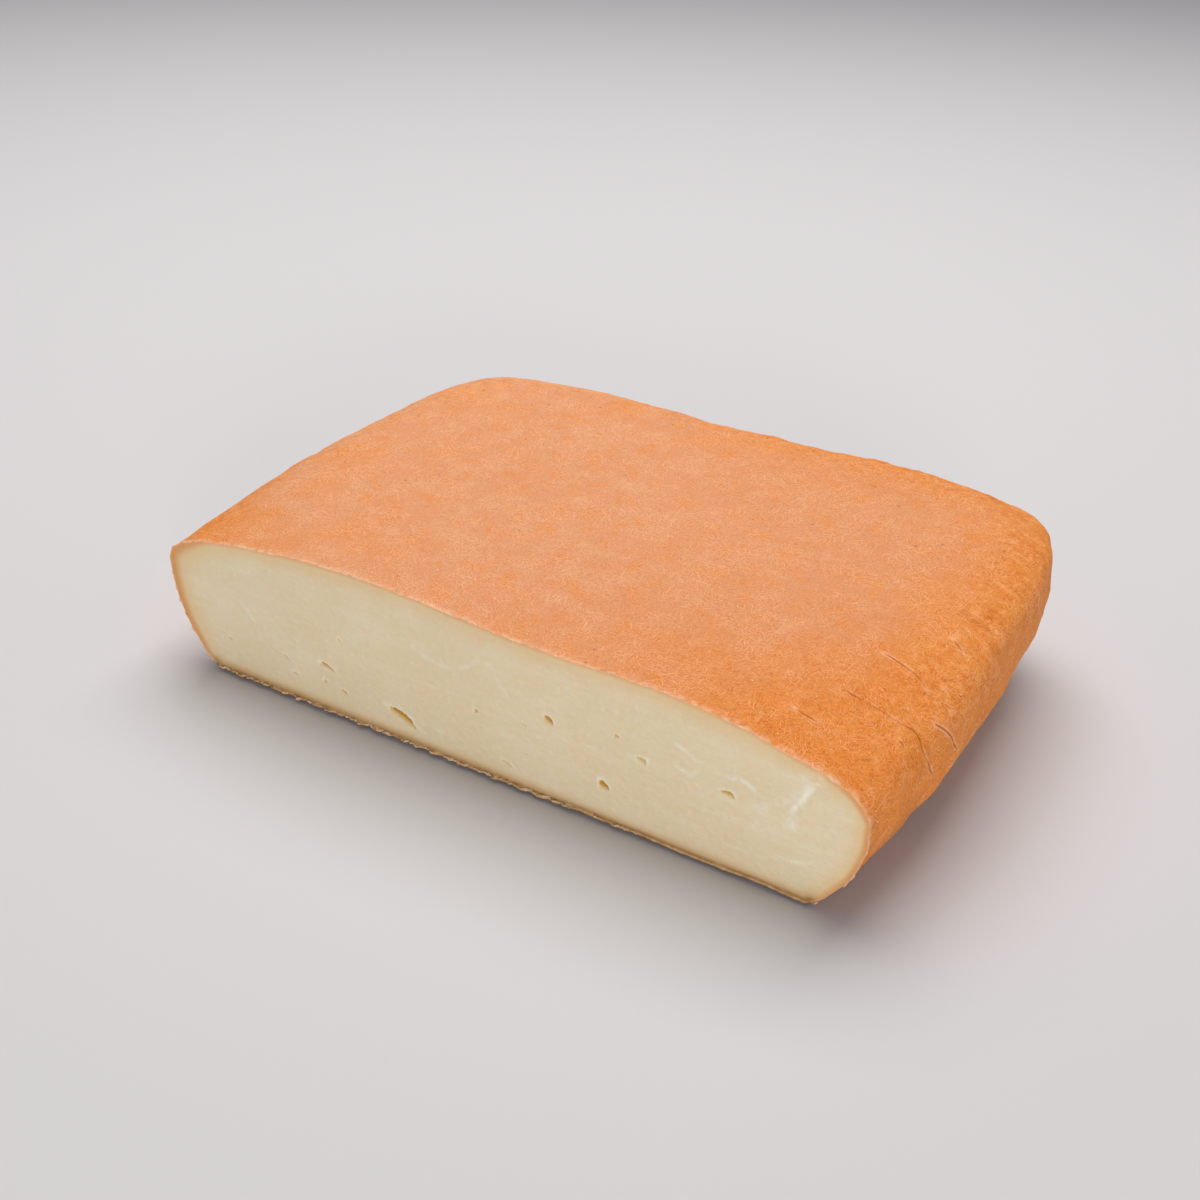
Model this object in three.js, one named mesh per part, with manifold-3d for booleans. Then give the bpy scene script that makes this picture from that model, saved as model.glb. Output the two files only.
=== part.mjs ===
// The larger piece of a square washed-rind cheese, lying on its flat underside with the knife's cut to the front.
// Millimetres, +Z up. +X runs along the cut and +Y from the cut to the back. The origin is under the piece's middle.
import * as THREE from "three";
import { mergeVertices } from "three/addons/utils/BufferGeometryUtils.js";
import Module from "manifold-3d";

const wasm = await Module();
wasm.setup();

// Driving dimensions: the whole cheese is a square slab, and the knife takes a strip off its front
const SIDE = 201;
const HEIGHT = 44.2;
const KEPT_DEPTH = 136.5;
const HALF_SIDE = SIDE / 2;
const MIDDLE_Y = KEPT_DEPTH - HALF_SIDE; // the middle of the whole cheese, behind the cut at y = 0

// Plan: a square with soft corners, where a power of 2 would be a circle
const PLAN_POWER = 10;

// Shoulder, from the belly up to the top: broad and slumped by the cut, tighter towards the back
const SHOULDER_POWER_AT_CUT = 2.4;
const SHOULDER_POWER_AT_BACK = 5.7;
const TIGHTENS_FROM_Y = -20;
const TIGHTENS_TO_Y = 80;

// Belly, the height at which the sides stand out furthest
const BELLY_LEFT_AT_CUT = 28;
const BELLY_RIGHT_AT_CUT = 22.5;
const BELLY_AT_BACK = 29;

// Foot, from the belly down to the underside, which sags below the board until the board flattens it
const FOOT_INSET = 18.5;
const FOOT_POWER = 1.7;
const SAG = 1.5;

// Rim that the mould left along the top of the back and its corners
const RIM_RISE = 1.0;
const RIM_REACH = 0.89; // share of the way out from the middle
const RIM_SPREAD = 0.05;

// Dents pressed into the top by its own slump and by turning
const DENTS = [
  { x: 19, y: 2, spread: 30, depth: 2.2 },
  { x: -34, y: 62, spread: 26, depth: 0.9 },
  { x: 40, y: 88, spread: 24, depth: 1.1 },
  { x: -62, y: 108, spread: 18, depth: 0.7 },
];

// Swells of the walls, out or in, each towards a bearing in degrees round the plan from +X
const SWELLS = [
  { towards: -20, spread: 8, out: -0.6 },
  { towards: 6, spread: 15, out: 2.5 },
  { towards: 44, spread: 12, out: -4.5 },
  { towards: 62, spread: 14, out: 1.5 },
  { towards: 95, spread: 16, out: -0.8 },
  { towards: 118, spread: 12, out: 1.0 },
  { towards: 137, spread: 12, out: -3.5 },
  { towards: 170, spread: 16, out: 0.6 },
];

// Eyes in the cut face: place along the cut, height above the board, length, width and lean in degrees
const EYES = [
  { x: -24.4, z: 7.8, length: 8.8, width: 2.4, lean: -19 },
  { x: -47.9, z: 14.1, length: 5.2, width: 1.2, lean: -4 },
  { x: 34.9, z: 10.9, length: 3.0, width: 2.0, lean: -12 },
  { x: 19.7, z: 23.2, length: 2.9, width: 1.8, lean: -22 },
  { x: 44.8, z: 22.0, length: 2.8, width: 1.5, lean: -13 },
  { x: 66.8, z: 21.9, length: 3.4, width: 1.2, lean: -5 },
  { x: 7.7, z: 6.5, length: 3.2, width: 0.9, lean: -17 },
  { x: -43.0, z: 8.7, length: 2.4, width: 0.9, lean: -17 },
  { x: -61.6, z: 12.3, length: 2.2, width: 0.8, lean: -23 },
  { x: -1.1, z: 18.2, length: 1.6, width: 1.0, lean: 12 },
  { x: 38.3, z: 25.9, length: 1.5, width: 1.0, lean: -2 },
  { x: -49.0, z: 9.7, length: 1.4, width: 1.0, lean: -6 },
];
const EYE_DEPTH_SHARE = 0.75; // of the eye's width

// Fineness of the facets
const PLAN_STEPS = 56;
const WALL_STEPS = 18;
const EYE_STEPS = 8;

// What is cut away reaches past the cheese by this much
const CLEARANCE = 20;

const clamp01 = (t) => THREE.MathUtils.clamp(t, 0, 1);
const powerSum = (a, b, power) => (Math.abs(a) ** power + Math.abs(b) ** power) ** (1 / power);

// 0 at the cut and 1 towards the back
const towardsBack = (y) => THREE.MathUtils.smoothstep(y, TIGHTENS_FROM_Y, TIGHTENS_TO_Y);

// The height of the belly and the tightness of the shoulder in one direction from the middle
function sideForm(toRight, y) {
  const back = towardsBack(y);
  const atCut = THREE.MathUtils.lerp(BELLY_LEFT_AT_CUT, BELLY_RIGHT_AT_CUT, clamp01((toRight + 1) / 2));
  return {
    belly: THREE.MathUtils.lerp(atCut, BELLY_AT_BACK, back),
    power: THREE.MathUtils.lerp(SHOULDER_POWER_AT_CUT, SHOULDER_POWER_AT_BACK, back),
    back,
  };
}

// How far the top is raised by its rim and pressed in by its dents
function topRelief(x, y, share, back) {
  const rim = RIM_RISE * back * Math.exp(-(((share - RIM_REACH) / RIM_SPREAD) ** 2));
  const pressed = DENTS.reduce((sum, dent) => {
    const away = Math.hypot(x - dent.x, y - dent.y) / dent.spread;
    return sum + dent.depth * Math.exp(-away * away);
  }, 0);
  return rim - pressed;
}

// How far the wall stands out towards one bearing
function wallRelief(bearing) {
  return SWELLS.reduce((sum, swell) => {
    const away = (THREE.MathUtils.euclideanModulo(bearing - swell.towards + 180, 360) - 180) / swell.spread;
    return sum + swell.out * Math.exp(-away * away);
  }, 0);
}

// Where a point of a cube of half side 1 goes on the whole cheese
function onCheese(point) {
  const { x: across, y: along, z: upward } = point;
  const reach = Math.max(Math.abs(across), Math.abs(along));
  const round = reach > 0 ? powerSum(across, along, PLAN_POWER) : 1;
  const toRight = across / round;
  const toBack = along / round;
  const { belly, power, back } = sideForm(toRight, MIDDLE_Y + HALF_SIDE * toBack);

  let share;
  let z;
  let topShare = 0;
  if (upward >= 0) {
    const scale = 1 / powerSum(reach, upward, power);
    share = reach * scale;
    topShare = upward * scale;
    z = belly + (HEIGHT - belly) * topShare;
  } else {
    const turn = (-upward * Math.PI) / 2;
    const inset = FOOT_INSET / HALF_SIDE;
    share = reach * (1 - inset + inset * Math.max(Math.cos(turn), 0) ** (2 / FOOT_POWER));
    z = belly - (belly + SAG) * Math.sin(turn) ** (2 / FOOT_POWER);
  }

  const wall = share ** 4 * wallRelief(THREE.MathUtils.radToDeg(Math.atan2(toBack, toRight)));
  const out = HALF_SIDE * share + wall;
  const x = toRight * out;
  const y = MIDDLE_Y + toBack * out;
  return point.set(x, y, z + topShare ** 2 * topRelief(x, y, share, back));
}

// A closed three.js geometry as a solid
function solidOf(geometry) {
  geometry.deleteAttribute("normal");
  geometry.deleteAttribute("uv");
  const merged = mergeVertices(geometry, 1e-4);
  return new wasm.Manifold(
    new wasm.Mesh({
      numProp: 3,
      vertProperties: merged.attributes.position.array,
      triVerts: new Uint32Array(merged.index.array),
    }),
  );
}

function wholeCheese() {
  const geometry = new THREE.BoxGeometry(2, 2, 2, PLAN_STEPS, PLAN_STEPS, WALL_STEPS);
  const position = geometry.attributes.position;
  const point = new THREE.Vector3();
  for (let i = 0; i < position.count; i++) {
    onCheese(point.fromBufferAttribute(position, i));
    position.setXYZ(i, point.x, point.y, point.z);
  }
  return solidOf(geometry);
}

// The strip in front of the cut, which the knife takes off
function cutOffStrip() {
  const depth = SIDE - KEPT_DEPTH + CLEARANCE;
  const strip = new THREE.BoxGeometry(SIDE + 2 * CLEARANCE, depth, HEIGHT + 2 * CLEARANCE);
  return solidOf(strip.translate(0, -depth / 2, HEIGHT / 2));
}

// The board under the cheese, which leaves its underside flat
function board() {
  const slab = new THREE.BoxGeometry(SIDE + 2 * CLEARANCE, SIDE + 2 * CLEARANCE, CLEARANCE);
  return solidOf(slab.translate(0, MIDDLE_Y, -CLEARANCE / 2));
}

// A slit-shaped hollow, centred on the cut face
function eyeHollow({ x, z, length, width, lean }) {
  const hollow = new THREE.SphereGeometry(1, EYE_STEPS, EYE_STEPS - 2);
  hollow.scale(length / 2, width * EYE_DEPTH_SHARE, width / 2);
  hollow.rotateY(-THREE.MathUtils.degToRad(lean));
  return solidOf(hollow.translate(x, 0, z));
}

// A solid as a geometry whose bounding box stands on the origin
function standingGeometry(solid) {
  const { numProp, vertProperties, triVerts } = solid.getMesh();
  const geometry = new THREE.BufferGeometry();
  const interleaved = new THREE.InterleavedBuffer(vertProperties, numProp);
  geometry.setAttribute("position", new THREE.InterleavedBufferAttribute(interleaved, 3, 0));
  geometry.setIndex(new THREE.BufferAttribute(triVerts, 1));
  geometry.computeBoundingBox();
  const middle = geometry.boundingBox.getCenter(new THREE.Vector3());
  return geometry.translate(-middle.x, -middle.y, -geometry.boundingBox.min.z);
}

function cutCheese() {
  const removed = [board(), cutOffStrip(), ...EYES.map(eyeHollow)];
  return removed.reduce((cheese, piece) => cheese.subtract(piece), wholeCheese());
}

const washedRind = new THREE.MeshStandardMaterial({ color: 0xd98a52, roughness: 0.62, metalness: 0 });
const cheese = new THREE.Mesh(standingGeometry(cutCheese()), washedRind);
cheese.name = "taleggio_piece";

const part = new THREE.Group();
part.add(cheese);

export default part;
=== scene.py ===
"""A cut piece of square washed-rind cheese: felted orange rind, ivory paste and a torn rim at the cut."""

import logging
import math
from dataclasses import dataclass, field
from enum import Enum, IntEnum
from typing import ClassVar, Mapping, Sequence

import bmesh
import bpy
import numpy as np
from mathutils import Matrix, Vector, kdtree, noise
from mathutils.bvhtree import BVHTree
from mathutils.geometry import delaunay_2d_cdt


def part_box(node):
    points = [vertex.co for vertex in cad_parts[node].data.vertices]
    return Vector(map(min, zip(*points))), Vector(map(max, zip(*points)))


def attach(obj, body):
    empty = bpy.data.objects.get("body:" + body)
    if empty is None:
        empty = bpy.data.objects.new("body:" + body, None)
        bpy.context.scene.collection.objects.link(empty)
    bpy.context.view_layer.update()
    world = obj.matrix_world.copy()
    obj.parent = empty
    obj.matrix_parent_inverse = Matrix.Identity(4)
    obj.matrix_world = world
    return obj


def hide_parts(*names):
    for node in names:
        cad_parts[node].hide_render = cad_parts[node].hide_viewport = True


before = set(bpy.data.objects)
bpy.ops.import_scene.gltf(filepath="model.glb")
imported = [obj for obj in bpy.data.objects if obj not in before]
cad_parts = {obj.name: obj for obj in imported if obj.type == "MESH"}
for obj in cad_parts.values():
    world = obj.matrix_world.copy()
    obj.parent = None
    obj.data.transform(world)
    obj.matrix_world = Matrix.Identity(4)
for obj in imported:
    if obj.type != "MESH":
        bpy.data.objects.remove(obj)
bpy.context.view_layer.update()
log = logging.getLogger("cheese")

NODE = "taleggio_piece"
BODY = "root"
MM = 0.001  # the sizes below are in millimetres, and the scene is in metres

Inputs = Mapping[int | str, object]
Value = "Field | bpy.types.NodeSocket | float"


class Region(IntEnum):
    """The kinds of surface that the piece has, numbered as its material slots are."""

    RIND = 0
    PASTE = 1


def linear(colour: str) -> tuple[float, float, float, float]:
    """Turns an sRGB colour into linear values.

    Args:
        colour: Hex colour such as "e09a6a".

    Returns:
        Red, green and blue from 0 to 1, and full alpha.
    """
    parts = [int(colour[i : i + 2], 16) / 255 for i in (0, 2, 4)]
    return (*(p / 12.92 if p <= 0.04045 else ((p + 0.055) / 1.055) ** 2.4 for p in parts), 1.0)


def add_node(
    tree: bpy.types.NodeTree, kind: str, inputs: Inputs | None = None, **settings: object
) -> bpy.types.Node:
    """Adds a node with its settings, values and links.

    Args:
        tree: Node tree that takes the node.
        kind: Blender's own name for the type of node.
        inputs: Values by input name or number. A Field or an output is linked, as is each of a list of them.
        **settings: Properties of the node itself, such as its operation.

    Returns:
        The new node.
    """
    node = tree.nodes.new(kind)
    for name, value in settings.items():
        setattr(node, name, value)
    for key, value in (inputs or {}).items():
        for item in value if isinstance(value, list) else [value]:
            source = item.socket if isinstance(item, Field) else item
            if isinstance(source, bpy.types.NodeSocket):
                tree.links.new(source, node.inputs[key])
            else:
                node.inputs[key].default_value = source
    return node


@dataclass(frozen=True)
class Field:
    """A number that varies over a surface: an output socket in a node tree, with the usual arithmetic.

    Attributes:
        socket: Output that carries the number.
    """

    socket: bpy.types.NodeSocket

    def math(self, operation: str, *others: Value) -> "Field":
        """Applies one of Blender's math operations to this number and others."""
        inputs = dict(enumerate((self, *others)))
        return Field(add_node(self.socket.id_data, "ShaderNodeMath", inputs, operation=operation).outputs[0])

    def __add__(self, other: Value) -> "Field":
        """Adds another number."""
        return self.math("ADD", other)

    def __sub__(self, other: Value) -> "Field":
        """Takes another number away."""
        return self.math("SUBTRACT", other)

    def __rsub__(self, other: Value) -> "Field":
        """Takes this number away from another."""
        return (self * -1.0) + other

    def __mul__(self, other: Value) -> "Field":
        """Multiplies by another number."""
        return self.math("MULTIPLY", other)

    def __truediv__(self, other: Value) -> "Field":
        """Divides by another number."""
        return self.math("DIVIDE", other)

    def __rtruediv__(self, other: Value) -> "Field":
        """Divides another number by this one."""
        return self.math("POWER", -1.0) * other

    def __pow__(self, other: Value) -> "Field":
        """Raises to a power."""
        return self.math("POWER", other)

    def __abs__(self) -> "Field":
        """Drops the sign."""
        return self.math("ABSOLUTE")

    __radd__ = __add__
    __rmul__ = __mul__

    def ramp(self, low: Value, high: Value) -> "Field":
        """Eases from 0 to 1.

        Args:
            low: Value of this number at which the result is 0.
            high: Value at which it is 1, above or below the other.

        Returns:
            The eased number, which stays at 0 or 1 beyond the two.
        """
        inputs = {"Value": self, "From Min": low, "From Max": high}
        node = add_node(self.socket.id_data, "ShaderNodeMapRange", inputs, interpolation_type="SMOOTHSTEP")
        return Field(node.outputs["Result"])

    def between(self, start: Value, end: Value) -> "Field":
        """Goes from start where this number is 0 to end where it is 1."""
        return self * (end - start) + start

    def bell(self, middle: Value, spread: Value) -> "Field":
        """Is 1 at the middle and falls off on both sides as a bell curve does."""
        away = (self - middle) / spread
        return (away * away * -1.0).math("EXPONENT")

    def power_sum(self, other: "Field", power: Value) -> "Field":
        """Length of the pair of numbers by a power of its own, where 2 is the usual length."""
        total = abs(self) ** power + abs(other) ** power
        return total ** (1.0 / power)


def axes_of(vector: bpy.types.NodeSocket) -> tuple[Field, Field, Field]:
    """Splits a vector socket into its three numbers."""
    split = add_node(vector.id_data, "ShaderNodeSeparateXYZ", {0: vector})
    return tuple(Field(output) for output in split.outputs)


class Recipe:
    """A geometry node tree in the making, with named inputs for its sizes.

    Attributes:
        tree: The node tree.
        entry: The node that gives the tree its inputs.
    """

    def __init__(self, name: str) -> None:
        """Starts an empty tree that takes and gives geometry.

        Args:
            name: Name of the tree.
        """
        self.tree = bpy.data.node_groups.new(name, "GeometryNodeTree")
        for way in ("INPUT", "OUTPUT"):
            self.tree.interface.new_socket("Geometry", in_out=way, socket_type="NodeSocketGeometry")
        self.entry = self.add("NodeGroupInput")
        self._values: dict[str, object] = {}

    def size(self, name: str, value: float) -> Field:
        """Adds a named number to the tree's inputs.

        Args:
            name: Name of the input.
            value: Value that it has when the tree runs.

        Returns:
            The number, to calculate with.
        """
        socket = self.tree.interface.new_socket(name, in_out="INPUT", socket_type="NodeSocketFloat")
        self._values[socket.identifier] = float(value)
        return Field(self.entry.outputs[name])

    def helper(self, name: str, value: bpy.types.Object) -> bpy.types.NodeSocket:
        """Adds a named object to the tree's inputs.

        Args:
            name: Name of the input.
            value: Object that it has when the tree runs.

        Returns:
            The output that gives the object.
        """
        socket = self.tree.interface.new_socket(name, in_out="INPUT", socket_type="NodeSocketObject")
        self._values[socket.identifier] = value
        return self.entry.outputs[name]

    def add(self, kind: str, inputs: Inputs | None = None, **settings: object) -> bpy.types.Node:
        """Adds a node to the tree, as add_node does."""
        return add_node(self.tree, kind, inputs, **settings)

    def stored(self, geometry: bpy.types.NodeSocket, numbers: Mapping[str, Field]) -> bpy.types.NodeSocket:
        """Stores numbers on a mesh's points.

        Args:
            geometry: The mesh.
            numbers: What to store, by the name that it is read under.

        Returns:
            The mesh with the numbers.
        """
        for name, value in numbers.items():
            inputs = {"Geometry": geometry, "Name": name, "Value": value}
            geometry = self.add("GeometryNodeStoreNamedAttribute", inputs).outputs[0]
        return geometry

    def ripple(self, wavelength: float, seed: float, detail: float = 1.0) -> Field:
        """Makes soft noise about 0.

        Args:
            wavelength: Length of its waves, in millimetres.
            seed: Shift of the pattern, so that patterns differ.
            detail: How many finer waves lie on them.

        Returns:
            A number between about -0.5 and 0.5.
        """
        place = self.add("GeometryNodeInputPosition").outputs[0]
        spot = self.add("ShaderNodeVectorMath", {0: place, 1: (seed,) * 3}).outputs[0]
        inputs = {"Vector": spot, "Scale": 1.0 / (wavelength * MM), "Detail": detail}
        return Field(self.add("ShaderNodeTexNoise", inputs).outputs[0]) - 0.5

    def pushed_out(self, geometry: bpy.types.NodeSocket, distance: Field) -> bpy.types.NodeSocket:
        """Moves each point of a mesh along the surface's normal.

        Args:
            geometry: The mesh.
            distance: How far each point moves, in millimetres.

        Returns:
            The mesh with its points moved.
        """
        inputs = {0: self.add("GeometryNodeInputNormal").outputs[0], "Scale": distance * MM}
        offset = self.add("ShaderNodeVectorMath", inputs, operation="SCALE").outputs[0]
        return self.add("GeometryNodeSetPosition", {"Geometry": geometry, "Offset": offset}).outputs[0]

    def jostled(
        self, geometry: bpy.types.NodeSocket, wavelength: float, reach: float
    ) -> bpy.types.NodeSocket:
        """Moves points about at random.

        Args:
            geometry: The mesh.
            wavelength: Length of the waves in which its points move, in millimetres.
            reach: How far apart the two furthest places of a point lie, in millimetres.

        Returns:
            The mesh with its points moved.
        """
        waves = self.add("ShaderNodeTexNoise", {"Scale": 1 / (wavelength * MM)}).outputs["Color"]
        inputs = {0: waves, 1: (reach * MM,) * 3, 2: (-0.5 * reach * MM,) * 3}
        offset = self.add("ShaderNodeVectorMath", inputs, operation="MULTIPLY_ADD").outputs[0]
        return self.add("GeometryNodeSetPosition", {"Geometry": geometry, "Offset": offset}).outputs[0]

    def grow(
        self,
        result: bpy.types.NodeSocket,
        material: bpy.types.Material,
        carrier: bpy.types.Mesh | None = None,
    ) -> bpy.types.Mesh:
        """Ends the tree, runs it on a carrier and gives the result as a plain mesh.

        Args:
            result: Geometry that the tree ends with.
            material: Material for all of it.
            carrier: Mesh that the tree works on, if it needs one.

        Returns:
            A new mesh, with no modifier behind it.
        """
        realized = self.add("GeometryNodeRealizeInstances", {"Geometry": result}).outputs[0]
        inputs = {"Geometry": realized, "Material": material}
        dressed = self.add("GeometryNodeSetMaterial", inputs).outputs[0]
        self.add("NodeGroupOutput", {"Geometry": dressed})
        mesh = carrier or bpy.data.meshes.new(self.tree.name)
        worker = bpy.data.objects.new(self.tree.name, mesh)
        bpy.context.scene.collection.objects.link(worker)
        modifier = worker.modifiers.new(self.tree.name, "NODES")
        modifier.node_group = self.tree
        for identifier, value in self._values.items():
            modifier[identifier] = value
        graph = bpy.context.evaluated_depsgraph_get()
        grown = bpy.data.meshes.new_from_object(
            worker.evaluated_get(graph), preserve_all_data_layers=True, depsgraph=graph
        )
        worker.modifiers.remove(modifier)
        bpy.data.objects.remove(worker)
        return grown


def placed(name: str, mesh: bpy.types.Mesh) -> bpy.types.Object:
    """Puts a mesh in the scene.

    Args:
        name: Name of the object and of the mesh.
        mesh: The mesh.

    Returns:
        The new object, at the origin.
    """
    mesh.name = name
    piece = bpy.data.objects.new(name, mesh)
    bpy.context.scene.collection.objects.link(piece)
    return piece


# Finishes


@dataclass(frozen=True)
class Paint:
    """A colour in a material's node tree that further tints are laid over.

    Attributes:
        tree: Node tree of the material.
        source: A linear colour that is the same all over, or the output that carries a varied one.
    """

    tree: bpy.types.NodeTree
    source: tuple[float, float, float, float] | bpy.types.NodeSocket

    def over(self, colour: str, amount: Field) -> "Paint":
        """Lays an sRGB hex colour over this one by an amount."""
        inputs = {0: amount, 6: self.source, 7: linear(colour)}  # 6 and 7 are the colours of the mix
        return Paint(self.tree, add_node(self.tree, "ShaderNodeMix", inputs, data_type="RGBA").outputs[2])


class Surface:
    """A material's node tree in the making, around one Principled shader on the piece's own coordinates.

    Attributes:
        material: The material.
        tree: Its node tree.
        shader: Its Principled shader.
        place: The piece's own coordinates, in metres.
        normal: The surface's normal along the same axes.
    """

    def __init__(self, name: str, **shader: object) -> None:
        """Starts a material.

        Args:
            name: Name of the material.
            **shader: What is the same all over, by the name of the shader's own socket with _ for a space.
        """
        self.material = bpy.data.materials.new(name)
        self.material.use_nodes = True
        self.tree = self.material.node_tree
        self.shader = self.tree.nodes["Principled BSDF"]
        coordinates = self.add("ShaderNodeTexCoord")
        self.place = coordinates.outputs["Object"]
        self.normal = coordinates.outputs["Normal"]
        for key, value in shader.items():
            self.shader.inputs[key.replace("_", " ")].default_value = value

    def add(self, kind: str, inputs: Inputs | None = None, **settings: object) -> bpy.types.Node:
        """Adds a node to the material, as add_node does."""
        return add_node(self.tree, kind, inputs, **settings)

    def paint(self, colour: str) -> Paint:
        """Starts a colour from an sRGB hex value."""
        return Paint(self.tree, linear(colour))

    def patches(self, size: float, drawn_out: float | None = None, **inputs: float) -> Field:
        """Makes soft random patches.

        Args:
            size: Size of the patches, in millimetres.
            drawn_out: How many times as long they are along the cut, if they are drawn out.
            **inputs: Other inputs of the pattern, by name.

        Returns:
            A number from 0 to 1.
        """
        place = self.place
        if drawn_out:
            stretch = {"Vector": place, "Scale": (1 / drawn_out, 1.0, 1.0)}
            place = self.add("ShaderNodeMapping", stretch).outputs[0]
        values = {"Vector": place, "Scale": 1 / (size * MM), **inputs}
        return Field(self.add("ShaderNodeTexNoise", values).outputs[0])

    def dots(self, spacing: float, radius: float) -> Field:
        """Scatters round dots.

        Args:
            spacing: Mean distance between them, in millimetres.
            radius: Their radius, in millimetres.

        Returns:
            1 in the middle of a dot and 0 beside it.
        """
        inputs = {"Vector": self.place, "Scale": 1 / (spacing * MM)}
        far = Field(self.add("ShaderNodeTexVoronoi", inputs).outputs["Distance"])
        return far.ramp(radius / spacing, 0.3 * radius / spacing)

    def finish(self, colour: Paint, roughness: Field, height: Field) -> bpy.types.Material:
        """Gives colour, roughness and relief to the shader.

        Args:
            colour: Base colour, which is set on the shader itself if it is the same all over.
            roughness: Roughness from 0 to 1.
            height: Relief too fine for the mesh, in millimetres.

        Returns:
            The finished material.
        """
        base = self.shader.inputs["Base Color"]
        if isinstance(colour.source, bpy.types.NodeSocket):
            self.tree.links.new(colour.source, base)
        else:
            base.default_value = colour.source
        self.tree.links.new(roughness.socket, self.shader.inputs["Roughness"])
        bump = self.add("ShaderNodeBump", {"Height": height, "Distance": MM, "Strength": 1.0})
        self.tree.links.new(bump.outputs[0], self.shader.inputs["Normal"])
        return self.material


@dataclass(frozen=True)
class Felt:
    """A layer of fine bent threads that lie on a surface, one in each cell of a random packing.

    Real threads are a few hundredths of a millimetre thick, too fine to show in the render. These are drawn
    as coarse as they need to be to show.

    Attributes:
        spacing: Mean distance between the threads, in millimetres.
        length: Length of a thread, in millimetres.
        width: Width of a thread, in millimetres.
        seed: Shift of the packing, so that layers differ.
        bend: How far a thread bends, as a share of its length.
        lean_size: Size of the patches in which threads lean the same way, in millimetres.
        lean: How much of that way a thread takes, for one part of its own.
        faintest: Strength of the faintest thread.
        shuffle: Factor that keeps a thread's strength apart from its direction.
    """

    spacing: float
    length: float
    width: float
    seed: float
    bend: float = 0.16
    lean_size: float = 12.0
    lean: float = 3.0
    faintest: float = 0.3
    shuffle: float = 7.0

    def on(self, surface: Surface) -> Field:
        """Draws the threads on a surface.

        Args:
            surface: Material in the making.

        Returns:
            0 beside the threads and up to 1 on them, since some are fainter than others.
        """
        noise_kind, vector = "ShaderNodeTexNoise", "ShaderNodeVectorMath"
        length, width = self.length * MM, self.width * MM
        wave = surface.add(noise_kind, {"Vector": surface.place, "Scale": 1 / length}).outputs["Color"]
        bending = {0: wave, 1: (self.bend * length,) * 3, 2: surface.place}
        bent = surface.add(vector, bending, operation="MULTIPLY_ADD").outputs[0]
        spot = surface.add(vector, {0: bent, 1: (self.seed,) * 3}).outputs[0]
        cell = surface.add("ShaderNodeTexVoronoi", {"Vector": spot, "Scale": 1 / (self.spacing * MM)})
        from_cell = {0: spot, 1: cell.outputs["Position"]}
        away = surface.add(vector, from_cell, operation="SUBTRACT").outputs[0]

        # Each thread's direction lies in the surface, across a random one that leans with its neighbours'
        inputs = {"Vector": surface.place, "Scale": 1 / (self.lean_size * MM)}
        shared = surface.add(noise_kind, inputs).outputs["Color"]
        leaning = {0: shared, 1: (self.lean,) * 3, 2: cell.outputs["Color"]}
        ways = surface.add(vector, leaning, operation="MULTIPLY_ADD").outputs[0]
        middle = (0.5 * (self.lean + 1.0),) * 3
        draw = surface.add(vector, {0: ways, 1: middle}, operation="SUBTRACT").outputs[0]
        flat = surface.add(vector, {0: draw, 1: surface.normal}, operation="CROSS_PRODUCT").outputs[0]
        across = surface.add(vector, {0: flat}, operation="NORMALIZE").outputs[0]
        off = Field(surface.add(vector, {0: away, 1: across}, operation="DOT_PRODUCT").outputs["Value"])
        far = Field(surface.add(vector, {0: away}, operation="LENGTH").outputs["Value"])
        shuffled = (axes_of(cell.outputs["Color"])[0] * self.shuffle).math("FRACT")
        strength = shuffled * (1.0 - self.faintest) + self.faintest
        on_thread = abs(off).ramp(0.8 * width, 0.1 * width)
        return on_thread * far.ramp(0.5 * length, 0.3 * length) * strength


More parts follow.
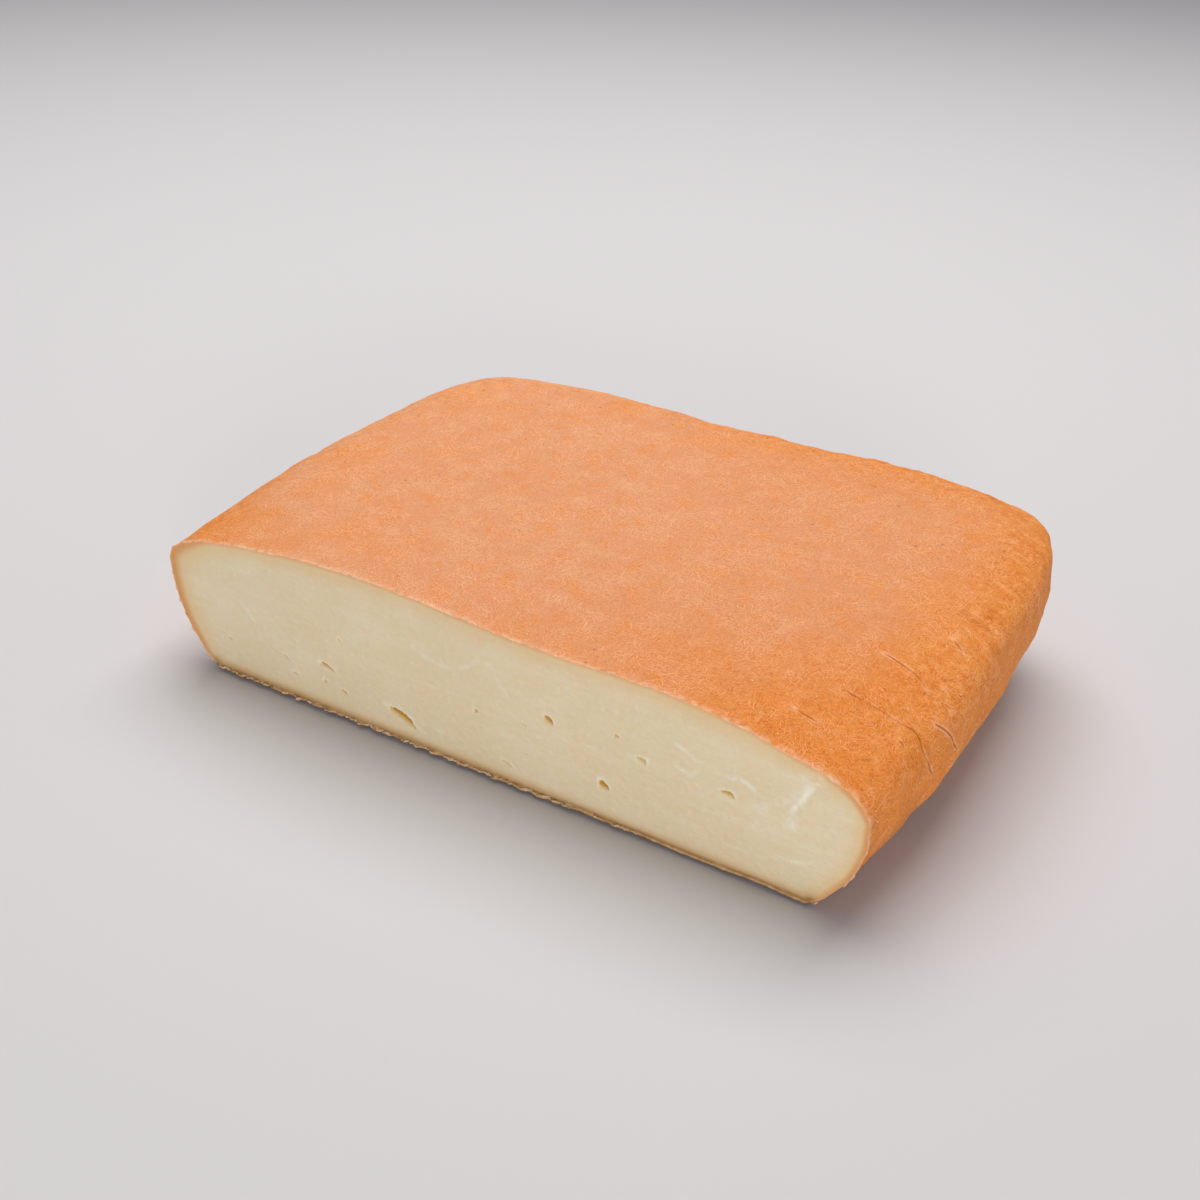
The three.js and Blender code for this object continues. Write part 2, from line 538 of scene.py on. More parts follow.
@dataclass(frozen=True)
class WashedRind:
    """Rind washed with brine and dried: thin and matt, felted with fine pale threads, a faint bloom and
    painted sheen on top.
    """

    wall: str = "e38533"
    # paler, pinker top: partly the rind's own colour, partly painted sheen from the light above
    top: str = "df9669"
    glow: str = "e88a3a"  # warm patches
    patch: str = "bb5420"  # darker spots between the threads
    ochre: str = "e6923f"  # worn edges of the back
    thread: str = "f9c39d"
    wall_thread: str = "ffb67d"
    pit: str = "7d3d18"
    crease_shade: str = "8f3f10"  # painted shade at the bottom of a crease
    lower_wall_shade: str = "6a503d"  # painted shade on the lower half of the walls
    rind_contact_shadow: str = "4a2f1c"  # painted contact shadow along the board

    def material(self) -> bpy.types.Material:
        """Makes the rind's material.

        Returns:
            The material, which reads the numbers that are stored on the rind.
        """
        rind = Surface(
            "washed_rind",
            IOR=1.45,
            Specular_IOR_Level=0.05,
            Subsurface_Weight=0.2,
            Subsurface_Radius=(1.0, 0.45, 0.2),
            Subsurface_Scale=1.0 * MM,
        )
        names = ("crown", "edge", "crease", "crease_edge", "frayed")
        stored = [rind.add("ShaderNodeAttribute", attribute_name=name) for name in names]
        crown, worn, crease, crease_edge, frayed = (Field(node.outputs["Fac"]) for node in stored)
        broad = rind.patches(26, Detail=3.0)
        mottled = rind.patches(6.0, Detail=4.0, Roughness=0.6)
        grain = rind.patches(0.8, Detail=3.0, Roughness=0.6)
        dimpled = rind.patches(2.4, Detail=2.0)
        thick = rind.patches(8.0, Detail=2.0).ramp(0.36, 0.64)
        short = Felt(spacing=0.7, length=1.2, width=0.2, seed=0.31).on(rind)
        middling = Felt(spacing=1.2, length=2.3, width=0.2, seed=0.77).on(rind)
        long = Felt(spacing=3.0, length=5.0, width=0.25, seed=1.43).on(rind)
        threads = (short * 0.75).math("MAXIMUM", middling * 0.95).math("MAXIMUM", long * 0.8)
        gaps = Felt(spacing=1.1, length=2.1, width=0.22, seed=2.19).on(rind)
        gaps = gaps * rind.patches(3.0).ramp(0.38, 0.6)
        pits = rind.dots(7.5, 0.5)
        specks = rind.dots(4.3, 0.3)

        # The ground: orange walls, a pinker top that is partly painted sheen, painted shade towards the foot
        # and broad uneven patches
        along, _, height = (axis / MM for axis in axes_of(rind.place))
        pinker = along.ramp(40.0, -90.0) * 0.2
        topmost = (crown + pinker).ramp(0.78, 1.06)
        on_wall = 1.0 - topmost
        # the top's colour is partly painted sheen from the light above
        colour = rind.paint(self.wall).over(self.top, topmost)
        # painted shade: the walls darken towards the foot
        colour = colour.over(self.lower_wall_shade, height.ramp(21.0, 4.0) * 0.8)
        colour = colour.over(self.glow, broad.ramp(0.4, 0.62) * crown.ramp(1.0, 0.93) * 0.4)
        colour = colour.over(self.glow, mottled.ramp(0.46, 0.72) * 0.55)
        colour = colour.over(self.thread, mottled.ramp(0.46, 0.2) * 0.18)
        colour = colour.over(self.patch, grain.ramp(0.48, 0.7) * (on_wall * 0.25 + 0.16))
        uneven = on_wall * 0.15 + worn * 0.45
        colour = colour.over(self.patch, dimpled.ramp(0.5, 0.75) * uneven)
        colour = colour.over(self.wall_thread, dimpled.ramp(0.48, 0.25) * uneven)
        colour = colour.over(self.ochre, mottled.ramp(0.45, 0.62) * worn * 0.5)

        # The felt on it, then specks, pits, pale torn edges, creases with painted shade and painted
        # highlight, and a painted contact shadow by the board
        colour = colour.over(self.patch, gaps * (on_wall * 0.6 + 0.1))
        laid = threads * (thick * 0.28 + 0.27)
        colour = colour.over(self.wall_thread, laid * (on_wall * 0.7 + 1.0))
        colour = colour.over(self.thread, laid * topmost)
        colour = colour.over(self.thread, specks * 0.6).over(self.pit, pits * 0.5)
        # pale torn rim, and painted highlight on the creases' raised edges
        colour = colour.over(self.thread, (frayed * 0.75 + crease_edge * 0.5).math("MINIMUM", 0.8))
        # painted shade in the creases, and a painted contact shadow along the board
        colour = colour.over(self.crease_shade, crease * 0.8).over(self.rind_contact_shadow, height.ramp(1.6, 0.5) * 0.7)
        roughness = grain * 0.2 + 0.5
        coarser = dimpled * 0.25 + threads * 0.02 + grain * 0.03
        relief = threads * 0.012 + grain * 0.03 + mottled * 0.35
        relief = relief + coarser * on_wall - pits * 0.1 + specks * 0.04
        return rind.finish(colour, roughness, relief)


@dataclass(frozen=True)
class Paste:
    """Ripe soft cheese cut with a knife: ivory, waxy, and yellower under the rind where it ripens first."""

    core: str = "efdcb7"
    cream: str = "f6e8ca"
    ripe: str = "efc98e"  # broad edge that ripens first
    under_rind: str = "df9440"
    # towards the foot: riper paste and painted shade
    foot: str = "bd8a3e"
    eye: str = "ddb145"
    # deepest part of an eye: deeper stain and painted shade
    eye_deep: str = "c08c20"
    smeared: str = "fcf5e6"
    browning_and_shade: str = "8c571c"  # line above the lip: browned paste and painted shade
    lip: str = "cda678"
    flake: str = "e3c197"
    torn: str = "f3bd8e"  # torn edge of the rind round the cut
    paste_contact_shadow: str = "3b2a1a"  # painted contact shadow along the board

    def material(self) -> bpy.types.Material:
        """Makes the paste's material.

        Returns:
            The material, which reads the numbers that are stored on the cut face.
        """
        paste = Surface(
            "cut_paste",
            IOR=1.45,
            Subsurface_Weight=0.6,
            Subsurface_Radius=(1.0, 0.6, 0.3),
            Subsurface_Scale=1.2 * MM,
        )
        stored = [paste.add("ShaderNodeAttribute", attribute_name=name) for name in CutFace.numbers]
        depth, above_foot, smear, eye, lip, torn = (Field(node.outputs["Fac"]) for node in stored)
        cloud = paste.patches(12, Detail=3.0)
        drag = paste.patches(2.4, drawn_out=9.0, Detail=2.0)
        curd = paste.patches(1.5, drawn_out=1.2, Detail=3.0)
        grain = paste.patches(0.7, Detail=2.0)
        flaky = paste.patches(1.6, Detail=2.0)
        uneven = depth + (cloud - 0.5) * 2.0

        # The paste itself, clouded, dragged by the blade and curdy
        colour = paste.paint(self.core).over(self.cream, cloud.ramp(0.42, 0.7) * 0.3)
        colour = colour.over(self.cream, drag.ramp(0.48, 0.7) * 0.3)
        colour = colour.over(self.smeared, curd.ramp(0.52, 0.78) * 0.28)
        colour = colour.over(self.ripe, curd.ramp(0.48, 0.22) * 0.28)

        # Riper under the rind and towards the foot with painted shade there, and browned with painted shade
        # above the lip towards the right
        colour = colour.over(self.ripe, uneven.ramp(7.5, -0.5) * 0.8)
        colour = colour.over(self.under_rind, depth.ramp(2.4, 0.0) * 0.9)
        # yellower and darker towards the foot: riper paste and painted shade
        colour = colour.over(self.foot, above_foot.ramp(6.0, 0.3) ** 1.7 * 0.7)
        along = axes_of(paste.place)[0] / MM
        to_right = along.ramp(0.0, 50.0) * 0.45 + 0.15
        # browned paste and painted shade in a line above the lip
        colour = colour.over(self.browning_and_shade, above_foot.ramp(2.4, 0.9) * to_right)

        # Smears, eyes with painted shade, the lip, the torn rim and a painted contact shadow by the board
        colour = colour.over(self.smeared, smear * 0.75).over(self.eye, eye * 0.9)
        # painted shade with deeper stain where an eye is deepest
        colour = colour.over(self.eye_deep, eye.ramp(0.6, 1.0) * 0.8)
        colour = colour.over(self.lip, lip).over(self.flake, lip * flaky.ramp(0.48, 0.66) * 0.8)
        # painted contact shadow along the board
        colour = colour.over(self.torn, torn * 0.85).over(self.paste_contact_shadow, above_foot.ramp(0.5, 0.1) * 0.8)
        roughness = grain * 0.12 + 0.38
        height = drag * 0.08 + curd * 0.24 + grain * 0.08
        return paste.finish(colour, roughness, height)


@dataclass(frozen=True)
class TornRind:
    """Dry scraps and threads of rind, paler than the rind because light gets into their torn edges."""

    name: str
    colour: str
    shade: str

    def material(self) -> bpy.types.Material:
        """Makes the scraps' material.

        Returns:
            The material.
        """
        scrap = Surface(
            self.name,
            IOR=1.45,
            Subsurface_Weight=0.3,
            Subsurface_Radius=(1.0, 0.5, 0.25),
            Subsurface_Scale=0.4 * MM,
        )
        grain = scrap.patches(0.6, Detail=2.0)
        colour = scrap.paint(self.colour).over(self.shade, scrap.patches(5.0).ramp(0.4, 0.65))
        return scrap.finish(colour, grain * 0.2 + 0.5, grain * 0.03)


@dataclass(frozen=True)
class StudioSweep:
    """Pale grey seamless paper, matt and even."""

    colour: str = "d7d3d2"

    def material(self) -> bpy.types.Material:
        """Makes the paper's material.

        Returns:
            The material.
        """
        paper = Surface("studio_sweep", Specular_IOR_Level=0.2)
        tooth = paper.patches(0.8, Detail=2.0)
        return paper.finish(paper.paint(self.colour), tooth * 0.05 + 0.8, tooth * 0.02)


# The cheese


@dataclass(frozen=True)
class Dent:
    """A shallow dent in the top: its place, how wide it spreads and how deep it is."""

    x: float
    y: float
    spread: float
    depth: float


@dataclass(frozen=True)
class Swell:
    """A swell of the wall: its bearing in degrees from +X, how wide it spreads and how far it stands out."""

    towards: float
    spread: float
    out: float


@dataclass
class SquareCheese:
    """The whole square cheese before the knife, with the cut to come at y = 0 and the board at z = 0."""

    side: float = 201.0
    height: float = 44.2
    kept_depth: float = 136.5
    plan_power: float = 10.0
    shoulder_power_at_cut: float = 2.4
    shoulder_power_at_back: float = 5.7
    tightens_from_y: float = -20.0
    tightens_to_y: float = 80.0
    belly_left_at_cut: float = 28.0
    belly_right_at_cut: float = 22.5
    belly_at_back: float = 29.0
    foot_inset: float = 18.5
    foot_power: float = 1.7
    sag: float = 1.5
    rim_rise: float = 1.0
    rim_reach: float = 0.89
    rim_spread: float = 0.05
    dents: tuple[Dent, ...] = (
        Dent(19, 2, 30, 2.2),
        Dent(-34, 62, 26, 0.9),
        Dent(40, 88, 24, 1.1),
        Dent(-62, 108, 18, 0.7),
    )
    swells: tuple[Swell, ...] = (
        Swell(-20, 8, -0.6),
        Swell(6, 15, 2.5),
        Swell(44, 12, -4.5),
        Swell(62, 14, 1.5),
        Swell(95, 16, -0.8),
        Swell(118, 12, 1.0),
        Swell(137, 12, -3.5),
        Swell(170, 16, 0.6),
    )
    plan_steps: int = 176
    wall_steps: int = 52
    lumps: float = 1.6  # height of broad lumps in the rind
    ripples: float = 0.8  # height of ripples in the rind
    wall_lumps: float = 1.8  # height of smaller lumps in the walls
    edge_wrinkles: float = 1.2  # height of wrinkles along the back's edges
    lumps_left: float = 0.3  # share of the wall's lumps and wrinkles that the left end has
    lumpier_over: tuple[float, float] = (-75.0, 30.0)  # places along the cut between which they grow
    lump_length: float = 27.0  # how long the waves of each of the four are
    ripple_length: float = 7.5
    wall_lump_length: float = 12.0
    wrinkle_length: float = 5.2
    wall_crowns: tuple[float, float] = (0.98, 0.7)  # values of "crown" between which the wall's lumps grow
    edge_reach: float = 0.95  # share of the way out from the middle where the back's edges wrinkle most
    edge_spread: float = 0.09

    def build(self, rind: bpy.types.Material) -> bpy.types.Mesh:
        """Grows the whole cheese's rind, open underneath, from a cube's surface.

        Args:
            rind: Material for the rind.

        Returns:
            Its mesh, with two numbers stored: "crown", 0 from the belly down and 1 on the flat of the top,
            and "edge", 1 along the edges of the back.
        """
        recipe = Recipe("square_cheese")
        size = recipe.size
        half = size("Side", self.side) * 0.5
        middle = size("Kept depth", self.kept_depth) - half
        height = size("Height", self.height)
        counts = (self.plan_steps + 1, self.plan_steps + 1, self.wall_steps + 1)
        names = ("Vertices X", "Vertices Y", "Vertices Z")
        cube = recipe.add("GeometryNodeMeshCube", {"Size": (2.0, 2.0, 2.0), **dict(zip(names, counts))})
        across, along, upward = axes_of(recipe.add("GeometryNodeInputPosition").outputs[0])
        inputs = {"Geometry": cube.outputs["Mesh"], "Selection": upward.math("LESS_THAN", -0.999)}
        walls = recipe.add("GeometryNodeDeleteGeometry", inputs, domain="FACE").outputs[0]

        # Directions in the plan, and the height of the belly and the tightness of the shoulder in each
        reach = abs(across).math("MAXIMUM", abs(along))
        round_out = across.power_sum(along, size("Plan power", self.plan_power))
        to_right = across / round_out
        to_back = along / round_out
        towards_back = (middle + half * to_back).ramp(self.tightens_from_y, self.tightens_to_y)
        at_cut = (to_right * 0.5 + 0.5).between(
            size("Belly left", self.belly_left_at_cut), size("Belly right", self.belly_right_at_cut)
        )
        belly = towards_back.between(at_cut, size("Belly at back", self.belly_at_back))
        power = towards_back.between(
            size("Shoulder power at cut", self.shoulder_power_at_cut),
            size("Shoulder power at back", self.shoulder_power_at_back),
        )

        # The profile from the foot over the belly to the top
        above = upward.math("MAXIMUM", 0.0)
        scale = reach.power_sum(above, power)
        crown = above / scale
        turn = (upward * -0.5 * math.pi).math("MAXIMUM", 0.0)
        foot_power = 2.0 / self.foot_power
        inset = size("Foot inset", self.foot_inset) / half
        drawn_in = turn.math("COSINE").math("MAXIMUM", 0.0) ** foot_power
        share = reach / scale * (1.0 - inset + inset * drawn_in)
        drop = (belly + size("Sag", self.sag)) * turn.math("SINE") ** foot_power

        # Swells of the walls, and the rim and dents of the top
        bearing = to_back.math("ARCTAN2", to_right).math("DEGREES")
        wall = share * 0.0
        for swell in self.swells:
            away = (bearing - swell.towards).math("WRAP", 180.0, -180.0)
            wall = wall + away.bell(0.0, swell.spread) * swell.out
        out = half * share + share**4.0 * wall
        x = to_right * out
        y = middle + to_back * out
        raised = share.bell(self.rim_reach, self.rim_spread) * towards_back * size("Rim rise", self.rim_rise)
        for dent in self.dents:
            raised = raised - x.bell(dent.x, dent.spread) * y.bell(dent.y, dent.spread) * dent.depth
        z = belly + (height - belly) * crown - drop + crown * crown * raised

        edge = share.bell(self.edge_reach, self.edge_spread) * towards_back * above.ramp(0.0, 0.5)
        stored = recipe.stored(walls, {"crown": crown, "edge": edge})
        place = recipe.add("ShaderNodeCombineXYZ", {"X": x * MM, "Y": y * MM, "Z": z * MM}).outputs[0]
        formed = recipe.add("GeometryNodeSetPosition", {"Geometry": stored, "Position": place}).outputs[0]
        return recipe.grow(recipe.pushed_out(formed, self.rind_relief(recipe)), rind)

    def rind_relief(self, recipe: Recipe) -> Field:
        """Works out the lumps, ripples and wrinkles of the rind.

        Args:
            recipe: Tree in which the cheese has its form and its stored numbers.

        Returns:
            How far each point of the rind stands out, in millimetres.
        """
        size = recipe.size
        named = [recipe.add("GeometryNodeInputNamedAttribute", {"Name": name}) for name in ("crown", "edge")]
        crown, edge = (Field(node.outputs[0]) for node in named)
        along_cut = axes_of(recipe.add("GeometryNodeInputPosition").outputs[0])[0] / MM
        lumpier = along_cut.ramp(*self.lumpier_over) * (1.0 - self.lumps_left) + self.lumps_left
        lumps = recipe.ripple(self.lump_length, seed=3.1) * size("Lumps", self.lumps)
        ripples = recipe.ripple(self.ripple_length, seed=8.4, detail=2.0) * size("Ripples", self.ripples)
        wrinkled = recipe.ripple(self.wrinkle_length, seed=5.7, detail=2.0)
        wrinkles = wrinkled * size("Edge wrinkles", self.edge_wrinkles) * edge * lumpier
        bumpy = recipe.ripple(self.wall_lump_length, seed=2.2) * size("Wall lumps", self.wall_lumps)
        return lumps + ripples + wrinkles + bumpy * crown.ramp(*self.wall_crowns) * lumpier


@dataclass(frozen=True)
class Eye:
    """A slit in the cut face."""

    x: float
    z: float
    length: float
    width: float
    lean: float  # degrees
    depth: float
    taper: float = 0.45  # how much it narrows to its right end
    bow: float = 0.0  # how far its middle bends up, as a share of half its width


@dataclass(frozen=True)
class Smear:
    """A ridge that the blade dragged up, or a groove that it left, along a few points of the cut face.

    Attributes:
        route: The points, as x and z.
        width: Half its width.
        height: Its height, below 0 for a groove.
    """

    route: tuple[tuple[float, float], ...]
    width: float
    height: float


@dataclass(frozen=True)
class Crease:
    """A crease in the rind along a few points near its surface."""

    route: tuple[tuple[float, float, float], ...]


def along_route(route: Sequence[Sequence[float]], step: float) -> np.ndarray:
    """Points at even steps along a smooth curve through a route's points.

    Args:
        route: Two or more points.
        step: Distance between the points that come back.

    Returns:
        The points, one in each row.
    """
    knots = np.asarray(route, float)
    ends = np.vstack([2 * knots[0] - knots[1], knots, 2 * knots[-1] - knots[-2]])
    pieces = []
    for before, start, end, after in zip(ends, ends[1:], ends[2:], ends[3:]):
        t = np.arange(0.0, 1.0, step / np.linalg.norm(end - start))[:, None]
        bend = 2 * before - 5 * start + 4 * end - after
        twist = 3 * start - before - 3 * end + after
        pieces.append(0.5 * (2 * start + (end - before) * t + bend * t**2 + twist * t**3))
    return np.vstack([*pieces, knots[-1:]])


def distance_to(points: np.ndarray, line: np.ndarray) -> np.ndarray:
    """Measures how far points are from a line.

    Args:
        points: The points, one in each row.
        line: Points that the line goes through, one in each row.

    Returns:
        The distance from each point to the nearest stretch of the line.
    """
    start, run = line[:-1], np.diff(line, axis=0)
    length = np.maximum((run**2).sum(1), 1e-12)
    nearest = np.full(len(points), np.inf)
    for origin, step, size in zip(start, run, length):
        share = np.clip((points - origin) @ step / size, 0.0, 1.0)
        nearest = np.minimum(nearest, ((points - origin - share[:, None] * step) ** 2).sum(1))
    return np.sqrt(nearest)


def inside(points: np.ndarray, outline: np.ndarray) -> np.ndarray:
    """Tells which points lie inside a closed flat outline.

    Args:
        points: Flat points, one in each row.
        outline: Points round the outline, one in each row.

    Returns:
        True or False for each point.
    """
    found = np.zeros(len(points), bool)
    for (x0, y0), (x1, y1) in zip(outline, np.roll(outline, -1, axis=0)):
        if y0 != y1:
            crosses = (y0 > points[:, 1]) != (y1 > points[:, 1])
            found ^= crosses & (points[:, 0] < (x1 - x0) * (points[:, 1] - y0) / (y1 - y0) + x0)
    return found


def lattice(low: np.ndarray, high: np.ndarray, spacing: float) -> np.ndarray:
    """Spreads points over a rectangle in a triangular lattice.

    Args:
        low: Its lower left corner.
        high: Its upper right corner.
        spacing: Distance between neighbouring points.

    Returns:
        The points, one in each row.
    """
    rows = []
    columns = np.arange(low[0], high[0], spacing)
    for number, up in enumerate(np.arange(low[1], high[1], spacing * math.sqrt(0.75))):
        rows.append(np.column_stack([columns + (number % 2) * spacing / 2, np.full(len(columns), up)]))
    return np.vstack(rows)


def soft_noise(points: np.ndarray, wavelength: float, seed: float) -> np.ndarray:
    """Noise between about -1 and 1 at flat points, with waves of a given length."""
    return np.array([noise.noise(Vector((p[0] / wavelength, p[1] / wavelength, seed))) for p in points])


@dataclass
class CutFace:
    """The flat face that the knife left, with its eyes, smears, proud torn rim and crumpled lower lip."""

    numbers: ClassVar[tuple[str, ...]] = ("from_rind", "from_foot", "smear", "eye", "lip", "torn")
    spacing: float = 0.95
    fine_spacing: float = 0.36
    eye_spacing: float = 0.17
    rim_band: float = 1.8
    proud: float = 0.1  # how far the torn rim of the rind stands out
    tear_length: float = 2.3  # length of the rim's torn bits
    tear_width: float = 0.5
    lip_height: float = 1.2
    lip_out: float = 0.8
    lip_fades: tuple[float, float, float] = (10.0, 70.0, 0.35)  # from full, to none, and the least there is
    groove_height: float = 1.9  # the paste draws back a little above the lip
    groove_depth: float = 0.08
    waver: float = 0.3  # how far the cut wavers in and out
    waver_length: float = 34.0
    ragged: float = 0.22  # unevenness of the eyes' rims, as a share of their radius
    eye_rim: float = 0.12  # height of the torn rim over an eye
    white_from: float = 0.12  # height from which a smear is wholly white
    ends_from: float = 84.0  # the paste is riper from this distance along the cut to its ends
    ends_to: float = 97.0
    left_ripens: float = 0.9  # share by which the ripe edge is wider at the left end
    right_ripens: float = -0.15  # and at the right end
    rim_unripe: float = 1.0  # how much of the ripe edge's width the top lacks
    eyes: tuple[Eye, ...] = (
        Eye(-24.4, 7.6, 9.2, 2.7, -19, 1.0, 0.0, 0.5),
        Eye(-47.9, 14.0, 5.2, 1.4, -8, 0.6, 0.45, 0.6),
        Eye(-42.9, 23.1, 3.0, 0.9, -56, 0.4),
        Eye(-61.6, 12.3, 2.6, 1.0, -23, 0.4),
        Eye(-59.3, 8.5, 2.3, 0.9, 3, 0.35),
        Eye(-49.0, 9.7, 1.5, 1.2, -6, 0.5),
        Eye(-43.0, 8.7, 2.6, 1.2, -17, 0.5, -0.3),
        Eye(-1.1, 18.2, 1.6, 1.1, 12, 0.55),
        Eye(12.9, 19.3, 1.8, 0.8, -32, 0.3),
        Eye(19.7, 23.2, 3.1, 2.3, -22, 0.8, 0.1),
        Eye(38.3, 25.9, 1.5, 1.0, -2, 0.4),
        Eye(34.9, 10.9, 3.4, 2.4, -12, 0.85),
        Eye(44.8, 22.0, 2.8, 1.6, -13, 0.4, -0.4),
        Eye(7.7, 6.5, 3.6, 1.0, -17, 0.35, 0.0),
        Eye(66.8, 21.7, 3.8, 1.3, -5, 0.6, -0.5, 0.5),
        Eye(-81.4, 11.4, 1.5, 0.8, -19, 0.3),
    )
    smears: tuple[Smear, ...] = (
        Smear(((-19.5, 29.6), (-14.1, 27.9), (-8.2, 27.7), (-3.0, 30.0)), 0.6, 0.05),
        Smear(((-5, 28.8), (-3.0, 30.0), (-0.3, 32.4), (2.1, 32.9), (4.3, 31.6)), 0.5, 0.06),
        Smear(((53.3, 29.9), (54.9, 29.4), (56.5, 28.7), (58.3, 27.3), (59.0, 25.8)), 0.5, 0.09),
        Smear(((53.7, 24.1), (55.7, 23.5), (58.0, 23.6), (59.7, 25.6), (61.2, 27.2)), 0.55, 0.06),
        Smear(((61.2, 27.2), (63.0, 27.5), (64.6, 26.3)), 0.6, 0.08),
        Smear(
            ((66.3, 26.1), (68.0, 26.3), (69.1, 27.1), (71.1, 26.6), (72.6, 25.8), (73.8, 24.9)), 0.5, 0.1
        ),
        Smear(((68.5, 29.9), (68.7, 27.0)), 0.4, 0.05),
        Smear(((55.6, 27.5), (57.2, 26.7), (58.4, 25.3)), 0.6, -0.16),
        Smear(((85.0, 33.1), (86.4, 33.0), (87.7, 33.4)), 1.4, 0.12),
        Smear(
            ((88.2, 35.2), (86.7, 33.3), (86.0, 31.4), (84.9, 28.9), (84.0, 26.5), (83.1, 24.5)), 1.2, 0.1
        ),
        Smear(
            ((84.9, 28.9), (82.1, 26.9), (79.7, 24.6), (77.7, 23.0), (75.4, 21.8), (73.5, 21.7)), 1.1, 0.08
        ),
        Smear(((83.1, 24.5), (82.4, 22.1), (82.1, 19.7)), 1.5, 0.06),
        Smear(((74.6, 16.7), (78.0, 17.5)), 2.2, 0.04),
        Smear(((87.3, 30.6), (85.4, 27.5), (83.9, 25.3), (83.2, 23.4)), 0.9, -0.3),
        Smear(((80.2, 10.5), (83.2, 10.5), (86.5, 11.5), (88.3, 12.6)), 0.45, 0.1),
        Smear(((4.9, 30.4), (5.9, 28.2), (7.3, 27.0), (8.3, 25.6)), 0.5, 0.05),
        Smear(((-76, 24), (-72, 20), (-70, 15)), 0.6, 0.05),
    )

    def wants_fine(self, points: np.ndarray, closed: np.ndarray) -> np.ndarray:
        """Tells which points are near the rim or a smear, whose relief is fine.

        Args:
            points: Places on the face, as x and z.
            closed: The rim, with its first point again at its end.

        Returns:
            True or False for each point.
        """
        near = distance_to(points, closed) < self.rim_band
        for smear in self.smears:
            reach = 2.2 * smear.width + 0.4
            near |= distance_to(points, np.asarray(smear.route, float)) < reach
        return near

    def wants_dense(self, points: np.ndarray) -> np.ndarray:
        """Tells which points are in or round an eye, whose relief is the finest."""
        return np.max([self.eye_places(points, eye)[0] < 1.5 for eye in self.eyes], axis=0)

    def inner_points(self, outline: np.ndarray) -> np.ndarray:
        """Spreads points over the face, close together where there is fine relief.

        Args:
            outline: The rim, as x and z.

        Returns:
            The points, as x and z.
        """
        low, high = outline.min(0), outline.max(0)
        closed = np.vstack([outline, outline[:1]])
        coarse = lattice(low, high, self.spacing)
        fine = lattice(low, high, self.fine_spacing)
        dense = lattice(low, high, self.eye_spacing)
        kept = [
            coarse[~self.wants_fine(coarse, closed) & ~self.wants_dense(coarse)],
            fine[self.wants_fine(fine, closed) & ~self.wants_dense(fine)],
            dense[self.wants_dense(dense)],
        ]
        points = np.vstack(kept)
        points = points[inside(points, outline)]
        return points[distance_to(points, closed) > 0.45 * self.fine_spacing]

    @staticmethod
    def eye_places(points: np.ndarray, eye: Eye) -> tuple[np.ndarray, np.ndarray]:
        """Finds where points lie in an eye.

        Args:
            points: Places on the face, as x and z.
            eye: The eye.

        Returns:
            Distance from its middle and height over its middle line, as shares of the way to its rim.
        """
        lean = math.radians(eye.lean)
        off = points - (eye.x, eye.z)
        long = off @ (math.cos(lean), math.sin(lean)) / (eye.length / 2)
        wide = off @ (-math.sin(lean), math.cos(lean)) / (eye.width / 2)
        wide = wide * (1.0 + eye.taper * np.clip(long, -1.0, 1.0))
        wide = wide - eye.bow * (1.0 - np.clip(long**2, 0.0, 1.0))
        return np.hypot(long, wide), wide

    def smear_relief(self, points: np.ndarray) -> tuple[np.ndarray, np.ndarray]:
        """Works out the smears, which are broken here and there.

        Args:
            points: Places on the face, as x and z.

        Returns:
            How far each point stands out, and how white it is smeared.
        """
        out = np.zeros(len(points))
        white = np.zeros(len(points))
        for smear in self.smears:
            line = along_route(smear.route, 0.5)
            share = np.exp(-((distance_to(points, line) / smear.width) ** 2))
            patchy = soft_noise(points, 3.0, smear.width) + 0.7 * soft_noise(points, 1.1, smear.height)
            share *= np.clip(0.7 + 0.8 * patchy, 0.0, 1.3)
            whiteness = np.clip(smear.height / self.white_from, 0.0, 1.0)
            white = np.maximum(white, whiteness * share)
            out += smear.height * share
        return out, white

    def eye_relief(self, points: np.ndarray) -> tuple[np.ndarray, np.ndarray, np.ndarray]:
        """Works out the eyes, which are deepest under their upper rim.

        Args:
            points: Places on the face, as x and z.

        Returns:
            How far each point stands out, how white its rim is, partly torn paste and partly painted
            highlight, and how far it has the eyes' colour.
        """
        out = np.zeros(len(points))
        white = np.zeros(len(points))
        stain = np.zeros(len(points))
        for eye in self.eyes:
            near = np.flatnonzero(np.hypot(points[:, 0] - eye.x, points[:, 1] - eye.z) < eye.length)
            radius, over = self.eye_places(points[near], eye)
            radius = radius + self.ragged * soft_noise(points[near], 0.8, eye.x)
            hollow = np.clip(1.0 - np.maximum(radius, 0.0) ** 5, 0.0, 1.0)
            sunk = hollow * np.clip((over + 1.0) / 1.1, 0.0, 1.0)
            rimmed = np.exp(-(((radius - 1.2) / 0.22) ** 2)) * np.clip(over + 0.3, 0.0, 1.0)
            out[near] += self.eye_rim * rimmed - eye.depth * sunk
            # the raised rim is painted white: partly torn paste, partly painted highlight
            white[near] = np.maximum(white[near], 0.9 * rimmed)
            stained = min(1.0, 0.35 + 0.75 * eye.depth)
            stain[near] = np.maximum(stain[near], stained * np.clip(1.3 * sunk, 0.0, 1.0))
        return out, white, stain

